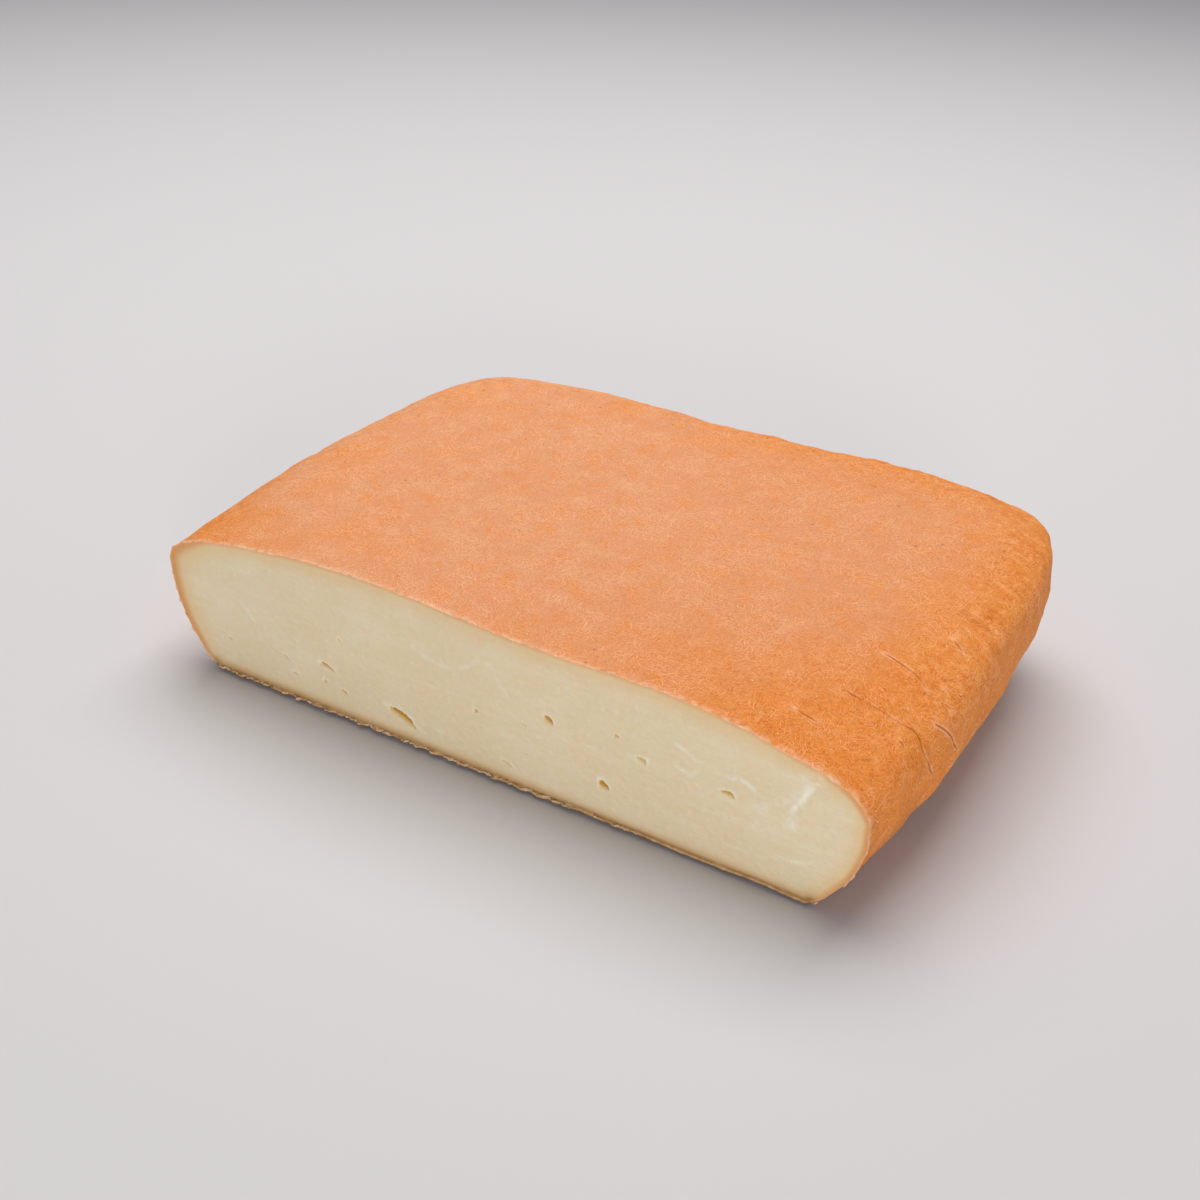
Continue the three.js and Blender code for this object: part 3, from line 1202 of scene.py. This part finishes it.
    def lip_relief(self, points: np.ndarray) -> tuple[np.ndarray, np.ndarray]:
        """Works out the crumpled lip along the foot, which fades to the right.

        Args:
            points: Places on the face, as x and z.

        Returns:
            How far each point stands out, and how far it is part of the lip.
        """
        crumples = soft_noise(points, 2.6, 4.0) + 0.5 * soft_noise(points, 1.1, 9.0)
        crumpled = np.clip(0.55 + crumples, 0.05, 1.6)
        at_foot = np.clip(1.0 - points[:, 1] / (self.lip_height * (0.6 + 0.5 * crumpled)), 0.0, 1.0)
        full, run_out, least = self.lip_fades
        fades = np.clip((run_out - points[:, 0]) / (run_out - full), least, 1.0)
        lip = np.clip(2.5 * at_foot * (0.4 + 0.6 * crumpled), 0.0, 1.0)
        return self.lip_out * crumpled * fades * np.sqrt(at_foot), lip

    def ripeness(self, points: np.ndarray, depth: np.ndarray) -> np.ndarray:
        """Stretches the distance from the rind, so that the ripe edge is wide at the ends and narrow on top.

        Args:
            points: Places on the face, as x and z.
            depth: Their distance from the rim.

        Returns:
            The distance by which the paste's finish goes.
        """
        ends = np.clip((np.abs(points[:, 0]) - self.ends_from) / (self.ends_to - self.ends_from), 0.0, 1.0)
        wider = np.where(points[:, 0] < 0.0, self.left_ripens, self.right_ripens)
        return (depth + self.rim_unripe * (1.0 - ends)) / (1.0 + wider * ends)

    def relief(self, points: np.ndarray, outline: np.ndarray) -> dict[str, np.ndarray]:
        """Works out the face's relief and what its finish reads.

        Args:
            points: Places on the face, as x and z.
            outline: The rim, as x and z.

        Returns:
            "out", how far each point stands out of the cut, and the numbers that the paste's finish reads.
        """
        depth = distance_to(points, np.vstack([outline, outline[:1]]))
        low = outline[outline[:, 1] < self.lip_height]
        foot = distance_to(points, low[np.argsort(low[:, 0])])
        smear_out, smear_white = self.smear_relief(points)
        eye_out, eye_white, stain = self.eye_relief(points)
        lip_out, lip = self.lip_relief(points)
        torn = np.clip(0.6 + soft_noise(points, self.tear_length, 7.0), 0.0, 1.5)
        at_rim = np.exp(-((depth / self.tear_width) ** 2))
        groove = np.exp(-((foot - self.groove_height) ** 2)) * (depth > 0.2)
        out = self.waver * soft_noise(points, self.waver_length, 2.5) * np.clip(depth / 4.0, 0.0, 1.0)
        out += smear_out + eye_out + self.proud * torn * at_rim + lip_out - self.groove_depth * groove
        white = np.clip(np.maximum(smear_white, eye_white), 0.0, 1.0)
        pale_rim = np.clip(0.35 + 0.65 * torn, 0.0, 1.0) * at_rim
        shares = (self.ripeness(points, depth), foot, white, stain, lip, pale_rim)
        return {"out": out, **dict(zip(self.numbers, shares))}


@dataclass
class CutCheese:
    """The piece that the knife left: rind all round, flat underside and cut face in one closed mesh."""

    whole: SquareCheese = field(default_factory=SquareCheese)
    face: CutFace = field(default_factory=CutFace)
    rim: np.ndarray = field(init=False)  # points along the rim of the cut, in metres
    lip: np.ndarray = field(init=False)  # points along the lip under the cut, in metres
    snap: float = 0.33  # points this near a plane are put on it, so that no sliver is left there
    underside_spacing: float = 5.0
    rim_band: float = 2.4  # width of the strip along the rim that is made finer
    rim_ragged: float = 0.35
    rim_fray: float = 1.1
    crease_depth: float = 0.15
    crease_rise: float = 0.1  # height of its raised edges
    crease_width: float = 0.17
    crease_cuts: tuple[tuple[float, int], ...] = ((1.6, 2), (0.7, 1))  # how near it edges are cut, how often
    crease_fade: float = 6.0  # length over which a crease runs out at each end
    crease_lift: float = 2.0  # height of its line over the rind at the very end
    foot_lift: float = 0.95  # how far the underside's front edge is off the board
    foot_reach: float = 6.0  # and how far back it lies on the board
    foot_stretch: float = 4.0  # height up to which the cheese above gives way to that
    flakes_to: float = 45.0  # the lip under the cut is flaky from the left end to here
    flakes_up: float = 1.5  # height of the flakes' line over the board
    scraps_from: float = 2.0  # height over the board from which scraps cling to the rim
    crease_wander: float = 0.3  # how far a crease strays from its route
    wander_seed: int = 5
    wander_length: float = 4.0
    creases: tuple[Crease, ...] = (
        Crease(((72.5, 12.1, 41), (77.2, 11.3, 40.4), (81.0, 11.0, 39.7), (85.0, 11.2, 38.7))),
        Crease(
            (
                (77.0, 24.6, 41.2),
                (81.8, 23.8, 40.8),
                (86.0, 23.2, 40.1),
                (90.3, 23.1, 39.1),
                (94.7, 23.4, 37.6),
                (98.6, 24.4, 35.6),
                (100.8, 23.3, 32.4),
                (101.8, 25.2, 27.8),
                (101.4, 30.8, 19.5),
            )
        ),
        Crease(
            (
                (79.5, 40.2, 42.5),
                (83.8, 39.4, 42.3),
                (89.0, 38.1, 41.7),
                (92.1, 37.2, 40.9),
                (98.3, 34.5, 37.9),
            )
        ),
        Crease(
            (
                (97.4, 28.4, 37.3),
                (100.3, 30.1, 35.3),
                (102.4, 33.0, 31.9),
                (103.1, 37.3, 26.5),
                (102.6, 40.1, 21.8),
            )
        ),
        Crease(((95.3, 20.3, 36.7), (97.6, 19.6, 35.2), (99.1, 19.2, 33.7))),
        Crease(((90.6, 56.1, 42.7), (95.0, 53.4, 41.3), (99.1, 51.0, 39.2))),
        Crease(((5.9, 15.3, 42.7), (8.0, 18.8, 42.8), (9.5, 22.8, 43.0))),
        Crease(((-82.1, 55.5, 43.3), (-82.1, 61.9, 43.3), (-80.7, 67.5, 43.4))),
    )

    def shift(self, mesh: bpy.types.Mesh) -> Vector:
        """Finds how far the whole cheese has to move so that its kept part lies in the solid's own box.

        Args:
            mesh: The whole cheese.

        Returns:
            The move, in metres.
        """
        low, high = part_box(NODE)
        kept = [v.co.x for v in mesh.vertices if v.co.y > 0.0]
        return Vector(((low.x + high.x) / 2 - (min(kept) + max(kept)) / 2, low.y, 0.0))

    def build(self, rind: bpy.types.Material, paste: bpy.types.Material) -> bpy.types.Object:
        """Builds the piece as one closed mesh.

        Args:
            rind: Material for the rind.
            paste: Material for the cut face.

        Returns:
            The piece's object, at the origin.
        """
        grown = self.whole.build(rind)
        move = self.shift(grown)
        body = bmesh.new()
        body.from_mesh(grown)
        for normal in (Vector((0, 1, 0)), Vector((0, 0, 1))):
            self.trim(body, normal)
        lines = self.crease_lines(body)
        self.refine(body, lines)
        creased = self.press_creases(body, lines, rind)
        body.free()

        body = bmesh.new()
        body.from_mesh(creased)
        for name in CutFace.numbers:
            body.verts.layers.float.new(name)
        self.close(body)
        bmesh.ops.translate(body, verts=body.verts, vec=move)
        mesh = bpy.data.meshes.new("cheese")
        body.to_mesh(mesh)
        body.free()
        self.rim = self.rim + np.array(move)
        self.lip = self.lip + np.array(move)
        mesh.materials.append(rind)
        mesh.materials.append(paste)
        return placed("cheese", mesh)

    def trim(self, body: bmesh.types.BMesh, normal: Vector) -> None:
        """Cuts away what lies behind a plane through the origin.

        Args:
            body: The mesh.
            normal: Direction towards what is kept.
        """
        bmesh.ops.bisect_plane(
            body,
            geom=[*body.verts, *body.edges, *body.faces],
            dist=self.snap * MM,
            plane_co=(0, 0, 0),
            plane_no=normal,
            use_snap_center=True,
            clear_inner=True,
        )

    def crease_lines(self, body: bmesh.types.BMesh) -> list[list[Vector]]:
        """Lays each crease's route on the rind, with ends that lift off so that the crease runs out there.

        Args:
            body: The rind.

        Returns:
            The points of each crease, in metres.
        """
        surface = BVHTree.FromBMesh(body)
        noise.seed_set(self.wander_seed)  # or noise vectors would differ from run to run
        step = 0.5
        lines = []
        for number, crease in enumerate(self.creases):
            route = along_route(crease.route, step)
            shift = Vector((number, 0, 0))
            wander = np.array([noise.noise_vector(Vector(p / self.wander_length) + shift) for p in route])
            fade = min(self.crease_fade, len(route) / 4)
            line = []
            for count, place in enumerate(route + self.crease_wander * wander):
                spot, normal = surface.find_nearest(Vector(place) * MM)[:2]
                to_end = step * min(count, len(route) - 1 - count) / fade
                line.append(spot + normal * max(0.0, 1.0 - to_end) ** 2 * self.crease_lift * MM)
            lines.append(line)
        return lines

    def refine(self, body: bmesh.types.BMesh, lines: Sequence[Sequence[Vector]]) -> None:
        """Splits the rind's faces along the creases and the rim, so that they are fine enough to hold them.

        Args:
            body: The rind.
            lines: Points of each crease on the rind.
        """
        spots = [spot for line in lines for spot in line]
        tree = kdtree.KDTree(len(spots))
        for number, spot in enumerate(spots):
            tree.insert(spot, number)
        tree.balance()
        for reach, cuts in self.crease_cuts:
            near = [e for e in body.edges if tree.find((e.verts[0].co + e.verts[1].co) / 2)[2] < reach * MM]
            bmesh.ops.subdivide_edges(body, edges=near, cuts=cuts, use_grid_fill=True)
        band = self.rim_band * MM
        edging = [e for e in body.edges if max(v.co.y for v in e.verts) < band]
        bmesh.ops.subdivide_edges(body, edges=edging, cuts=2, use_grid_fill=True)

    def press_creases(
        self, body: bmesh.types.BMesh, lines: Sequence[Sequence[Vector]], rind: bpy.types.Material
    ) -> bpy.types.Mesh:
        """Presses the creases into the rind with raised edges, and makes its rim at the cut ragged.

        Args:
            body: The rind.
            lines: Points of each crease on the rind.
            rind: Material for the rind.

        Returns:
            The rind's mesh, with the numbers "crease", "crease_edge" and "frayed" stored.
        """
        wires = bpy.data.meshes.new("crease_lines")
        points = [spot for line in lines for spot in line]
        starts = np.cumsum([0] + [len(line) for line in lines[:-1]])
        edges = [(s + i, s + i + 1) for s, line in zip(starts, lines) for i in range(len(line) - 1)]
        wires.from_pydata(points, edges, [])
        guide = placed("crease_lines", wires)
        carrier = bpy.data.meshes.new("rind")
        body.to_mesh(carrier)

        recipe = Recipe("pressed_creases")
        guides = recipe.add("GeometryNodeObjectInfo", {"Object": recipe.helper("Lines", guide)})
        near = recipe.add("GeometryNodeProximity", {0: guides.outputs["Geometry"]}, target_element="EDGES")
        distance = Field(near.outputs["Distance"]) / MM
        width = recipe.size("Width", self.crease_width)
        open_here = recipe.ripple(4.0, seed=1.7, detail=2.0).ramp(-0.15, 0.1) * 0.75 + 0.25
        groove = distance.bell(0.0, width) * open_here
        raised_here = recipe.ripple(4.0, seed=2.6, detail=2.0).ramp(-0.05, 0.15)
        ridge = distance.bell(width * 2.6, width * 1.4) * raised_here
        _, back, _ = axes_of(recipe.add("GeometryNodeInputPosition").outputs[0])
        fray = (back / MM).bell(0.0, recipe.size("Rim fray", self.rim_fray))
        tatters = recipe.ripple(1.5, seed=6.2, detail=2.0) * 3.0 + 0.55
        frayed = fray * tatters.math("MAXIMUM", 0.0).math("MINIMUM", 1.0)
        numbers = {"crease": groove, "crease_edge": ridge, "frayed": frayed}
        stored = recipe.stored(recipe.entry.outputs["Geometry"], numbers)
        ragged = recipe.ripple(2.1, seed=2.9, detail=2.0) * recipe.size("Rim ragged", self.rim_ragged)
        pressed = groove * recipe.size("Depth", self.crease_depth)
        relief = ridge * self.crease_rise - pressed + fray * ragged
        creased = recipe.grow(recipe.pushed_out(stored, relief), rind, carrier)
        bpy.data.objects.remove(guide)
        return creased

    def close(self, body: bmesh.types.BMesh) -> None:
        """Closes the rind with the cut face and the underside, and lifts the foot of the cut off the board.

        Args:
            body: The rind, open at the cut and underneath.
        """
        left, rim, right, foot = self.boundary(body)
        for vert in (left, *rim, right):
            vert.co.y = 0.0
        for vert in (left, *foot, right):
            vert.co.z = 0.0
        low, high = left.co.x / MM, right.co.x / MM
        steps = round((high - low) / self.face.fine_spacing)
        sill = [body.verts.new((x * MM, 0.0, 0.0)) for x in np.linspace(low, high, steps + 1)[1:-1]]
        self.fill(body, [left, *rim, right, *reversed(sill)], Region.PASTE)
        self.fill(body, [right, *foot, left, *sill], Region.RIND)
        self.rim = np.array([v.co for v in rim if v.co.z > self.scraps_from * MM])
        flaking = [v.co for v in sill if v.co.x < self.flakes_to * MM]
        self.lip = np.array(flaking) + (0.0, 0.0, self.flakes_up * MM)
        body.verts.index_update()
        for vert in body.verts:
            x, y, z = vert.co / MM
            lift = self.foot_lift * (1.0 + 0.6 * noise.noise(Vector((x / 14.0, 0.0, 0.5))))
            lower = max(0.0, 1.0 - z / self.foot_stretch)
            vert.co.z += lift * lower * max(0.0, 1.0 - max(y, 0.0) / self.foot_reach) * MM
        for edge in body.edges:
            kinds = {face.material_index for face in edge.link_faces}
            edge.smooth = len(kinds) == 1
        for face in body.faces:
            face.smooth = True
        bmesh.ops.recalc_face_normals(body, faces=body.faces)

    @staticmethod
    def boundary(
        body: bmesh.types.BMesh,
    ) -> tuple[bmesh.types.BMVert, list[bmesh.types.BMVert], bmesh.types.BMVert, list[bmesh.types.BMVert]]:
        """Finds the open edge of the trimmed rind.

        Args:
            body: The rind, open at the cut and underneath.

        Returns:
            The left corner, the rim of the cut over the top, the right corner, and the foot round the back.
        """
        next_to: dict[bmesh.types.BMVert, list[bmesh.types.BMVert]] = {}
        for edge in body.edges:
            if edge.is_boundary:
                for a, b in (edge.verts, reversed(edge.verts)):
                    next_to.setdefault(a, []).append(b)
        left = min((v for v in next_to if v.co.x < 0), key=lambda v: abs(v.co.y) + abs(v.co.z))
        right = min((v for v in next_to if v.co.x > 0), key=lambda v: abs(v.co.y) + abs(v.co.z))
        arcs = []
        for start in next_to[left]:
            arc, before = [start], left
            while arc[-1] is not right:
                onward = next(v for v in next_to[arc[-1]] if v is not before)
                before = arc[-1]
                arc.append(onward)
            arcs.append(arc[:-1])
        rim, foot = sorted(arcs, key=lambda arc: max(v.co.y for v in arc))
        return left, rim, right, foot[::-1]

    def fill(self, body: bmesh.types.BMesh, loop: Sequence[bmesh.types.BMVert], region: Region) -> None:
        """Fills a flat closed loop with triangles, and gives the cut face its relief.

        Args:
            body: Mesh that takes the faces.
            loop: Points round the opening.
            region: The cut face is paste, and the underside is rind.
        """
        is_cut = region is Region.PASTE
        up = 2 if is_cut else 1
        outline = np.array([[v.co[0], v.co[up]] for v in loop]) / MM
        if is_cut:
            points = self.face.inner_points(outline)
        else:
            points = lattice(outline.min(0), outline.max(0), self.underside_spacing)
            to_rim = distance_to(points, np.vstack([outline, outline[:1]]))
            points = points[inside(points, outline) & (to_rim > 0.4 * self.underside_spacing)]
        flat = np.vstack([outline, points])
        ring = [(i, (i + 1) % len(loop)) for i in range(len(loop))]
        triangles = delaunay_2d_cdt([Vector(p) for p in flat], ring, [], 1, 1e-7)[2]
        places = np.zeros((len(points), 3))
        places[:, [0, up]] = points * MM
        verts = [*loop, *(body.verts.new(place) for place in places.tolist())]
        if is_cut:
            relief = self.face.relief(flat, outline)
            for name in CutFace.numbers:
                layer = body.verts.layers.float[name]
                for vert, value in zip(verts, relief[name]):
                    vert[layer] = value
            for vert, out in zip(verts, relief["out"]):
                vert.co.y -= out * MM
        for triangle in triangles:
            face = body.faces.new([verts[i] for i in triangle])
            face.material_index = region

    def dress(self, piece: bpy.types.Object) -> None:
        """Makes the piece stand for the solid.

        Args:
            piece: The object that was built.
        """
        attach(piece, BODY)
        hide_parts(NODE)


class Litter(Enum):
    """The small things that lie on the rind."""

    THREAD = "thread"
    CRUMB = "crumb"


@dataclass
class RindLitter:
    """Dried threads or crumbs that lie all over the rind, thicker in some places than in others."""

    # Kinds to pick from: each crumb's share of the full length, and each thread's share and its bend
    crumb_shares: ClassVar[tuple[float, ...]] = (1.0, 0.7)
    thread_bends: ClassVar[tuple[tuple[float, float], ...]] = ((1.0, 0.25), (0.7, -0.45), (0.55, 0.1))
    name: str
    kind: Litter
    per_square_cm: float
    length: float
    width: float
    seed: int
    finish: TornRind
    patch_size: float = 16.0  # of the places where they lie thicker
    tilt: float = 0.06  # largest turn out of the surface, in radians
    sizes: tuple[float, float] = (0.6, 1.3)  # smallest and largest, as shares of the full size
    jostle: float = 0.3
    jostle_length: float = 1.3

    def shapes(self, recipe: Recipe) -> bpy.types.NodeSocket:
        """Makes a few kinds of the thing, along the X axis.

        Args:
            recipe: Tree that takes them.

        Returns:
            Instances to pick from.
        """
        length, width = self.length * MM, self.width * MM
        made = []
        if self.kind is Litter.CRUMB:
            ball = recipe.add("GeometryNodeMeshIcoSphere", {"Radius": 0.5, "Subdivisions": 1}).outputs[0]
            for share in self.crumb_shares:
                inputs = {"Geometry": ball, "Scale": (share * length, width, width / 2)}
                made.append(recipe.add("GeometryNodeTransform", inputs).outputs[0])
        else:
            circle = {"Resolution": 4, "Radius": width / 2}
            ring = recipe.add("GeometryNodeCurvePrimitiveCircle", circle).outputs[0]
            for share, bend in self.thread_bends:
                reach = share * length / 2
                ends = {"Start": (-reach, 0, 0), "Middle": (0, bend * length, 0), "End": (reach, 0, 0)}
                path = recipe.add("GeometryNodeCurveQuadraticBezier", {"Resolution": 5, **ends}).outputs[0]
                tube = {"Curve": path, "Profile Curve": ring, "Fill Caps": True}
                made.append(recipe.add("GeometryNodeCurveToMesh", tube).outputs[0])
        return recipe.add("GeometryNodeGeometryToInstance", {"Geometry": made}).outputs[0]

    def build(self, cheese: bpy.types.Mesh) -> bpy.types.Object:
        """Strews the things over the rind of the cheese.

        Args:
            cheese: Mesh of the whole piece, whose rind is its first material.

        Returns:
            One object with all of them.
        """
        recipe = Recipe(self.name)
        index = Field(recipe.add("GeometryNodeInputMaterialIndex").outputs[0])
        facing = axes_of(recipe.add("GeometryNodeInputNormal").outputs[0])[2]
        on_rind = index.math("LESS_THAN", 0.5) * facing.math("GREATER_THAN", -0.6)
        patches = (recipe.ripple(self.patch_size, seed=4.4) + 0.5).ramp(0.3, 0.65) * 0.8 + 0.2
        inputs = {
            "Mesh": recipe.entry.outputs["Geometry"],
            "Selection": on_rind,
            "Density": recipe.size("Per square metre", self.per_square_cm * 1e4) * patches,
            "Seed": self.seed,
        }
        spread = recipe.add("GeometryNodeDistributePointsOnFaces", inputs)

        # A random value lies between inputs 0 and 1 for a vector, 2 and 3 for a number,
        # 4 and 5 for a whole number, and input 8 is its seed
        random = "FunctionNodeRandomValue"
        turn = {0: (-self.tilt, -self.tilt, 0.0), 1: (self.tilt, self.tilt, 2 * math.pi), 8: self.seed + 1}
        turned = recipe.add(random, turn, data_type="FLOAT_VECTOR").outputs[0]
        inputs = {"Rotation": spread.outputs["Rotation"], "Rotate By": turned}
        laid = recipe.add("FunctionNodeRotateRotation", inputs, rotation_space="LOCAL").outputs[0]
        pick = {4: 0, 5: 2, 8: self.seed + 2}
        scale = {2: self.sizes[0], 3: self.sizes[1], 8: self.seed + 3}
        inputs = {
            "Points": spread.outputs["Points"],
            "Instance": self.shapes(recipe),
            "Pick Instance": True,
            "Instance Index": recipe.add(random, pick, data_type="INT").outputs[2],
            "Rotation": laid,
            "Scale": recipe.add(random, scale, data_type="FLOAT").outputs[1],
        }
        strewn = recipe.add("GeometryNodeInstanceOnPoints", inputs).outputs[0]
        loose = recipe.add("GeometryNodeRealizeInstances", {"Geometry": strewn}).outputs[0]
        uneven = recipe.jostled(loose, self.jostle_length, self.jostle)
        return placed(self.name, recipe.grow(uneven, self.finish.material(), cheese))


@dataclass
class TornEdge:
    """Scraps of rind that the knife tore loose and that cling along an edge."""

    name: str
    every: float  # places along the edge, of which a share holds a scrap
    share: float
    length: float
    width: float
    thickness: float
    lean: float  # largest turn from the edge's own direction, in degrees
    seed: int
    finish: TornRind
    sizes: tuple[float, float] = (0.5, 1.4)  # smallest and largest, as shares of the full size
    jostle: float = 0.5
    jostle_length: float = 0.9

    def build(self, line: np.ndarray) -> bpy.types.Object:
        """Lays the scraps along a line.

        Args:
            line: Points of the edge, in metres.

        Returns:
            One object with all of them.
        """
        wire = bpy.data.meshes.new(self.name)
        wire.from_pydata(line.tolist(), [(i, i + 1) for i in range(len(line) - 1)], [])
        recipe = Recipe(self.name)
        edge = recipe.add("GeometryNodeMeshToCurve", {"Mesh": recipe.entry.outputs["Geometry"]}).outputs[0]
        inputs = {"Curve": edge, "Length": recipe.size("Every", self.every * MM)}
        spots = recipe.add("GeometryNodeCurveToPoints", inputs, mode="LENGTH")
        ball = recipe.add("GeometryNodeMeshIcoSphere", {"Radius": 0.5 * MM, "Subdivisions": 2}).outputs[0]
        size = (self.thickness, self.width, self.length)
        scrap = recipe.add("GeometryNodeTransform", {"Geometry": ball, "Scale": size}).outputs[0]
        random = "FunctionNodeRandomValue"
        lean = math.radians(self.lean)
        turn = {0: (-lean, -lean, 0.0), 1: (lean, lean, 2 * math.pi), 8: self.seed}
        turned = recipe.add(random, turn, data_type="FLOAT_VECTOR").outputs[0]
        inputs = {"Rotation": spots.outputs["Rotation"], "Rotate By": turned}
        laid = recipe.add("FunctionNodeRotateRotation", inputs, rotation_space="LOCAL").outputs[0]
        pick = {6: self.share, 8: self.seed + 1}
        smallest, largest = self.sizes
        scale = {0: (smallest,) * 3, 1: (largest,) * 3, 8: self.seed + 2}
        inputs = {
            "Points": spots.outputs["Points"],
            "Selection": recipe.add(random, pick, data_type="BOOLEAN").outputs[3],
            "Instance": scrap,
            "Rotation": laid,
            "Scale": recipe.add(random, scale, data_type="FLOAT_VECTOR").outputs[0],
        }
        strewn = recipe.add("GeometryNodeInstanceOnPoints", inputs).outputs[0]
        loose = recipe.add("GeometryNodeRealizeInstances", {"Geometry": strewn}).outputs[0]
        uneven = recipe.jostled(loose, self.jostle_length, self.jostle)
        return placed(self.name, recipe.grow(uneven, self.finish.material(), wire))


# The studio


@dataclass(frozen=True)
class SoftBox:
    """A square soft light.

    Attributes:
        name: Name of the light.
        place: Where it hangs, in metres.
        aim: The place that it faces, in metres.
        side: Its width, in metres.
        power: Its power, in watts.
    """

    name: str
    place: tuple[float, float, float]
    aim: tuple[float, float, float]
    side: float
    power: float

    def build(self) -> None:
        """Hangs the light in the scene."""
        lamp = bpy.data.lights.new(self.name, "AREA")
        lamp.size = self.side
        lamp.energy = self.power
        holder = bpy.data.objects.new(self.name, lamp)
        holder.location = self.place
        towards = Vector(self.aim) - Vector(self.place)
        holder.rotation_euler = towards.to_track_quat("-Z", "Y").to_euler()
        bpy.context.scene.collection.objects.link(holder)


@dataclass
class Studio:
    """Pale paper sweep, soft light from above and all round, and a camera at the photograph's place.

    The large box hangs above and a little behind, and faces past the cheese to the front, so that the paper
    darkens towards the back. The small one stands low in front and lights the cut.
    """

    camera_place: tuple[float, float, float] = (203.4, -326.5, 236.2)
    azimuth: float = 33.48
    elevation: float = 29.78
    lens: float = 50.0
    sensor: float = 36.0
    floor_side: float = 6.0  # metres
    room: str = "f2f6ff"
    ambient: float = 0.25
    boxes: tuple[SoftBox, ...] = (
        SoftBox("key", place=(-0.22, 0.36, 1.15), aim=(0.1, -0.8, 0.0), side=1.15, power=16.3),
        SoftBox("fill", place=(0.96, -1.17, 0.25), aim=(0.0, 0.0, 0.0), side=0.5, power=10.1),
    )
    sweep: StudioSweep = field(default_factory=StudioSweep)

    def build(self) -> None:
        """Builds floor, light and camera."""
        self.build_floor()
        self.build_light()
        self.build_camera()

    def build_floor(self) -> None:
        """Lays the paper under the cheese."""
        half = self.floor_side / 2
        corners = [(-half, -half, 0), (half, -half, 0), (half, half, 0), (-half, half, 0)]
        mesh = bpy.data.meshes.new("sweep")
        mesh.from_pydata(corners, [], [(0, 1, 2, 3)])
        mesh.materials.append(self.sweep.material())
        floor = placed("sweep", mesh)

    def build_light(self) -> None:
        """Lights the scene with an even pale room and the soft boxes."""
        world = bpy.data.worlds.new("room")
        world.use_nodes = True
        background = world.node_tree.nodes["Background"]
        background.inputs["Color"].default_value = linear(self.room)
        background.inputs["Strength"].default_value = self.ambient
        bpy.context.scene.world = world
        for box in self.boxes:
            box.build()

    def build_camera(self) -> None:
        """Sets up the camera."""
        data = bpy.data.cameras.new("camera")
        data.lens = self.lens
        data.sensor_width = self.sensor
        camera = bpy.data.objects.new("camera", data)
        camera.location = Vector(self.camera_place) * MM
        camera.rotation_euler = (math.radians(90 - self.elevation), 0.0, math.radians(self.azimuth))
        bpy.context.scene.collection.objects.link(camera)
        bpy.context.scene.camera = camera


def main() -> None:
    """Builds the studio and the cheese."""
    logging.basicConfig(level=logging.INFO, format="%(name)s: %(message)s")
    bpy.context.scene.view_settings.view_transform = "Standard"
    Studio().build()
    cheese = CutCheese()
    piece = cheese.build(WashedRind().material(), Paste().material())
    cheese.dress(piece)
    threads = RindLitter(
        name="loose_threads",
        kind=Litter.THREAD,
        per_square_cm=4.5,
        length=2.4,
        width=0.08,
        seed=11,
        finish=TornRind("dried_threads", colour="f3bc8e", shade="eda66e"),
    )
    crumbs = RindLitter(
        name="rind_crumbs",
        kind=Litter.CRUMB,
        per_square_cm=2.2,
        length=0.5,
        width=0.36,
        seed=23,
        finish=TornRind("rind_crumbs", colour="f4d0ae", shade="ebb48a"),
    )
    rim = TornEdge(
        name="torn_rim",
        every=0.7,
        share=0.3,
        length=1.9,
        width=0.42,
        thickness=0.2,
        lean=14,
        seed=31,
        finish=TornRind("torn_rim", colour="f2caa8", shade="ecb389"),
    )
    lip = TornEdge(
        name="crumpled_lip",
        every=0.6,
        share=0.5,
        length=1.5,
        width=0.7,
        thickness=0.5,
        lean=24,
        seed=47,
        finish=TornRind("crumpled_lip", colour="e0c098", shade="c79e6c"),
    )
    loose = [
        *(litter.build(piece.data) for litter in (threads, crumbs)),
        rim.build(cheese.rim),
        lip.build(cheese.lip),
    ]
    for scraps in loose:
        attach(scraps, BODY)
    for built in (piece, *loose):
        built.data.calc_loop_triangles()
        log.info("%s has %d triangles", built.name, len(built.data.loop_triangles))


if __name__ == "__main__":
    main()
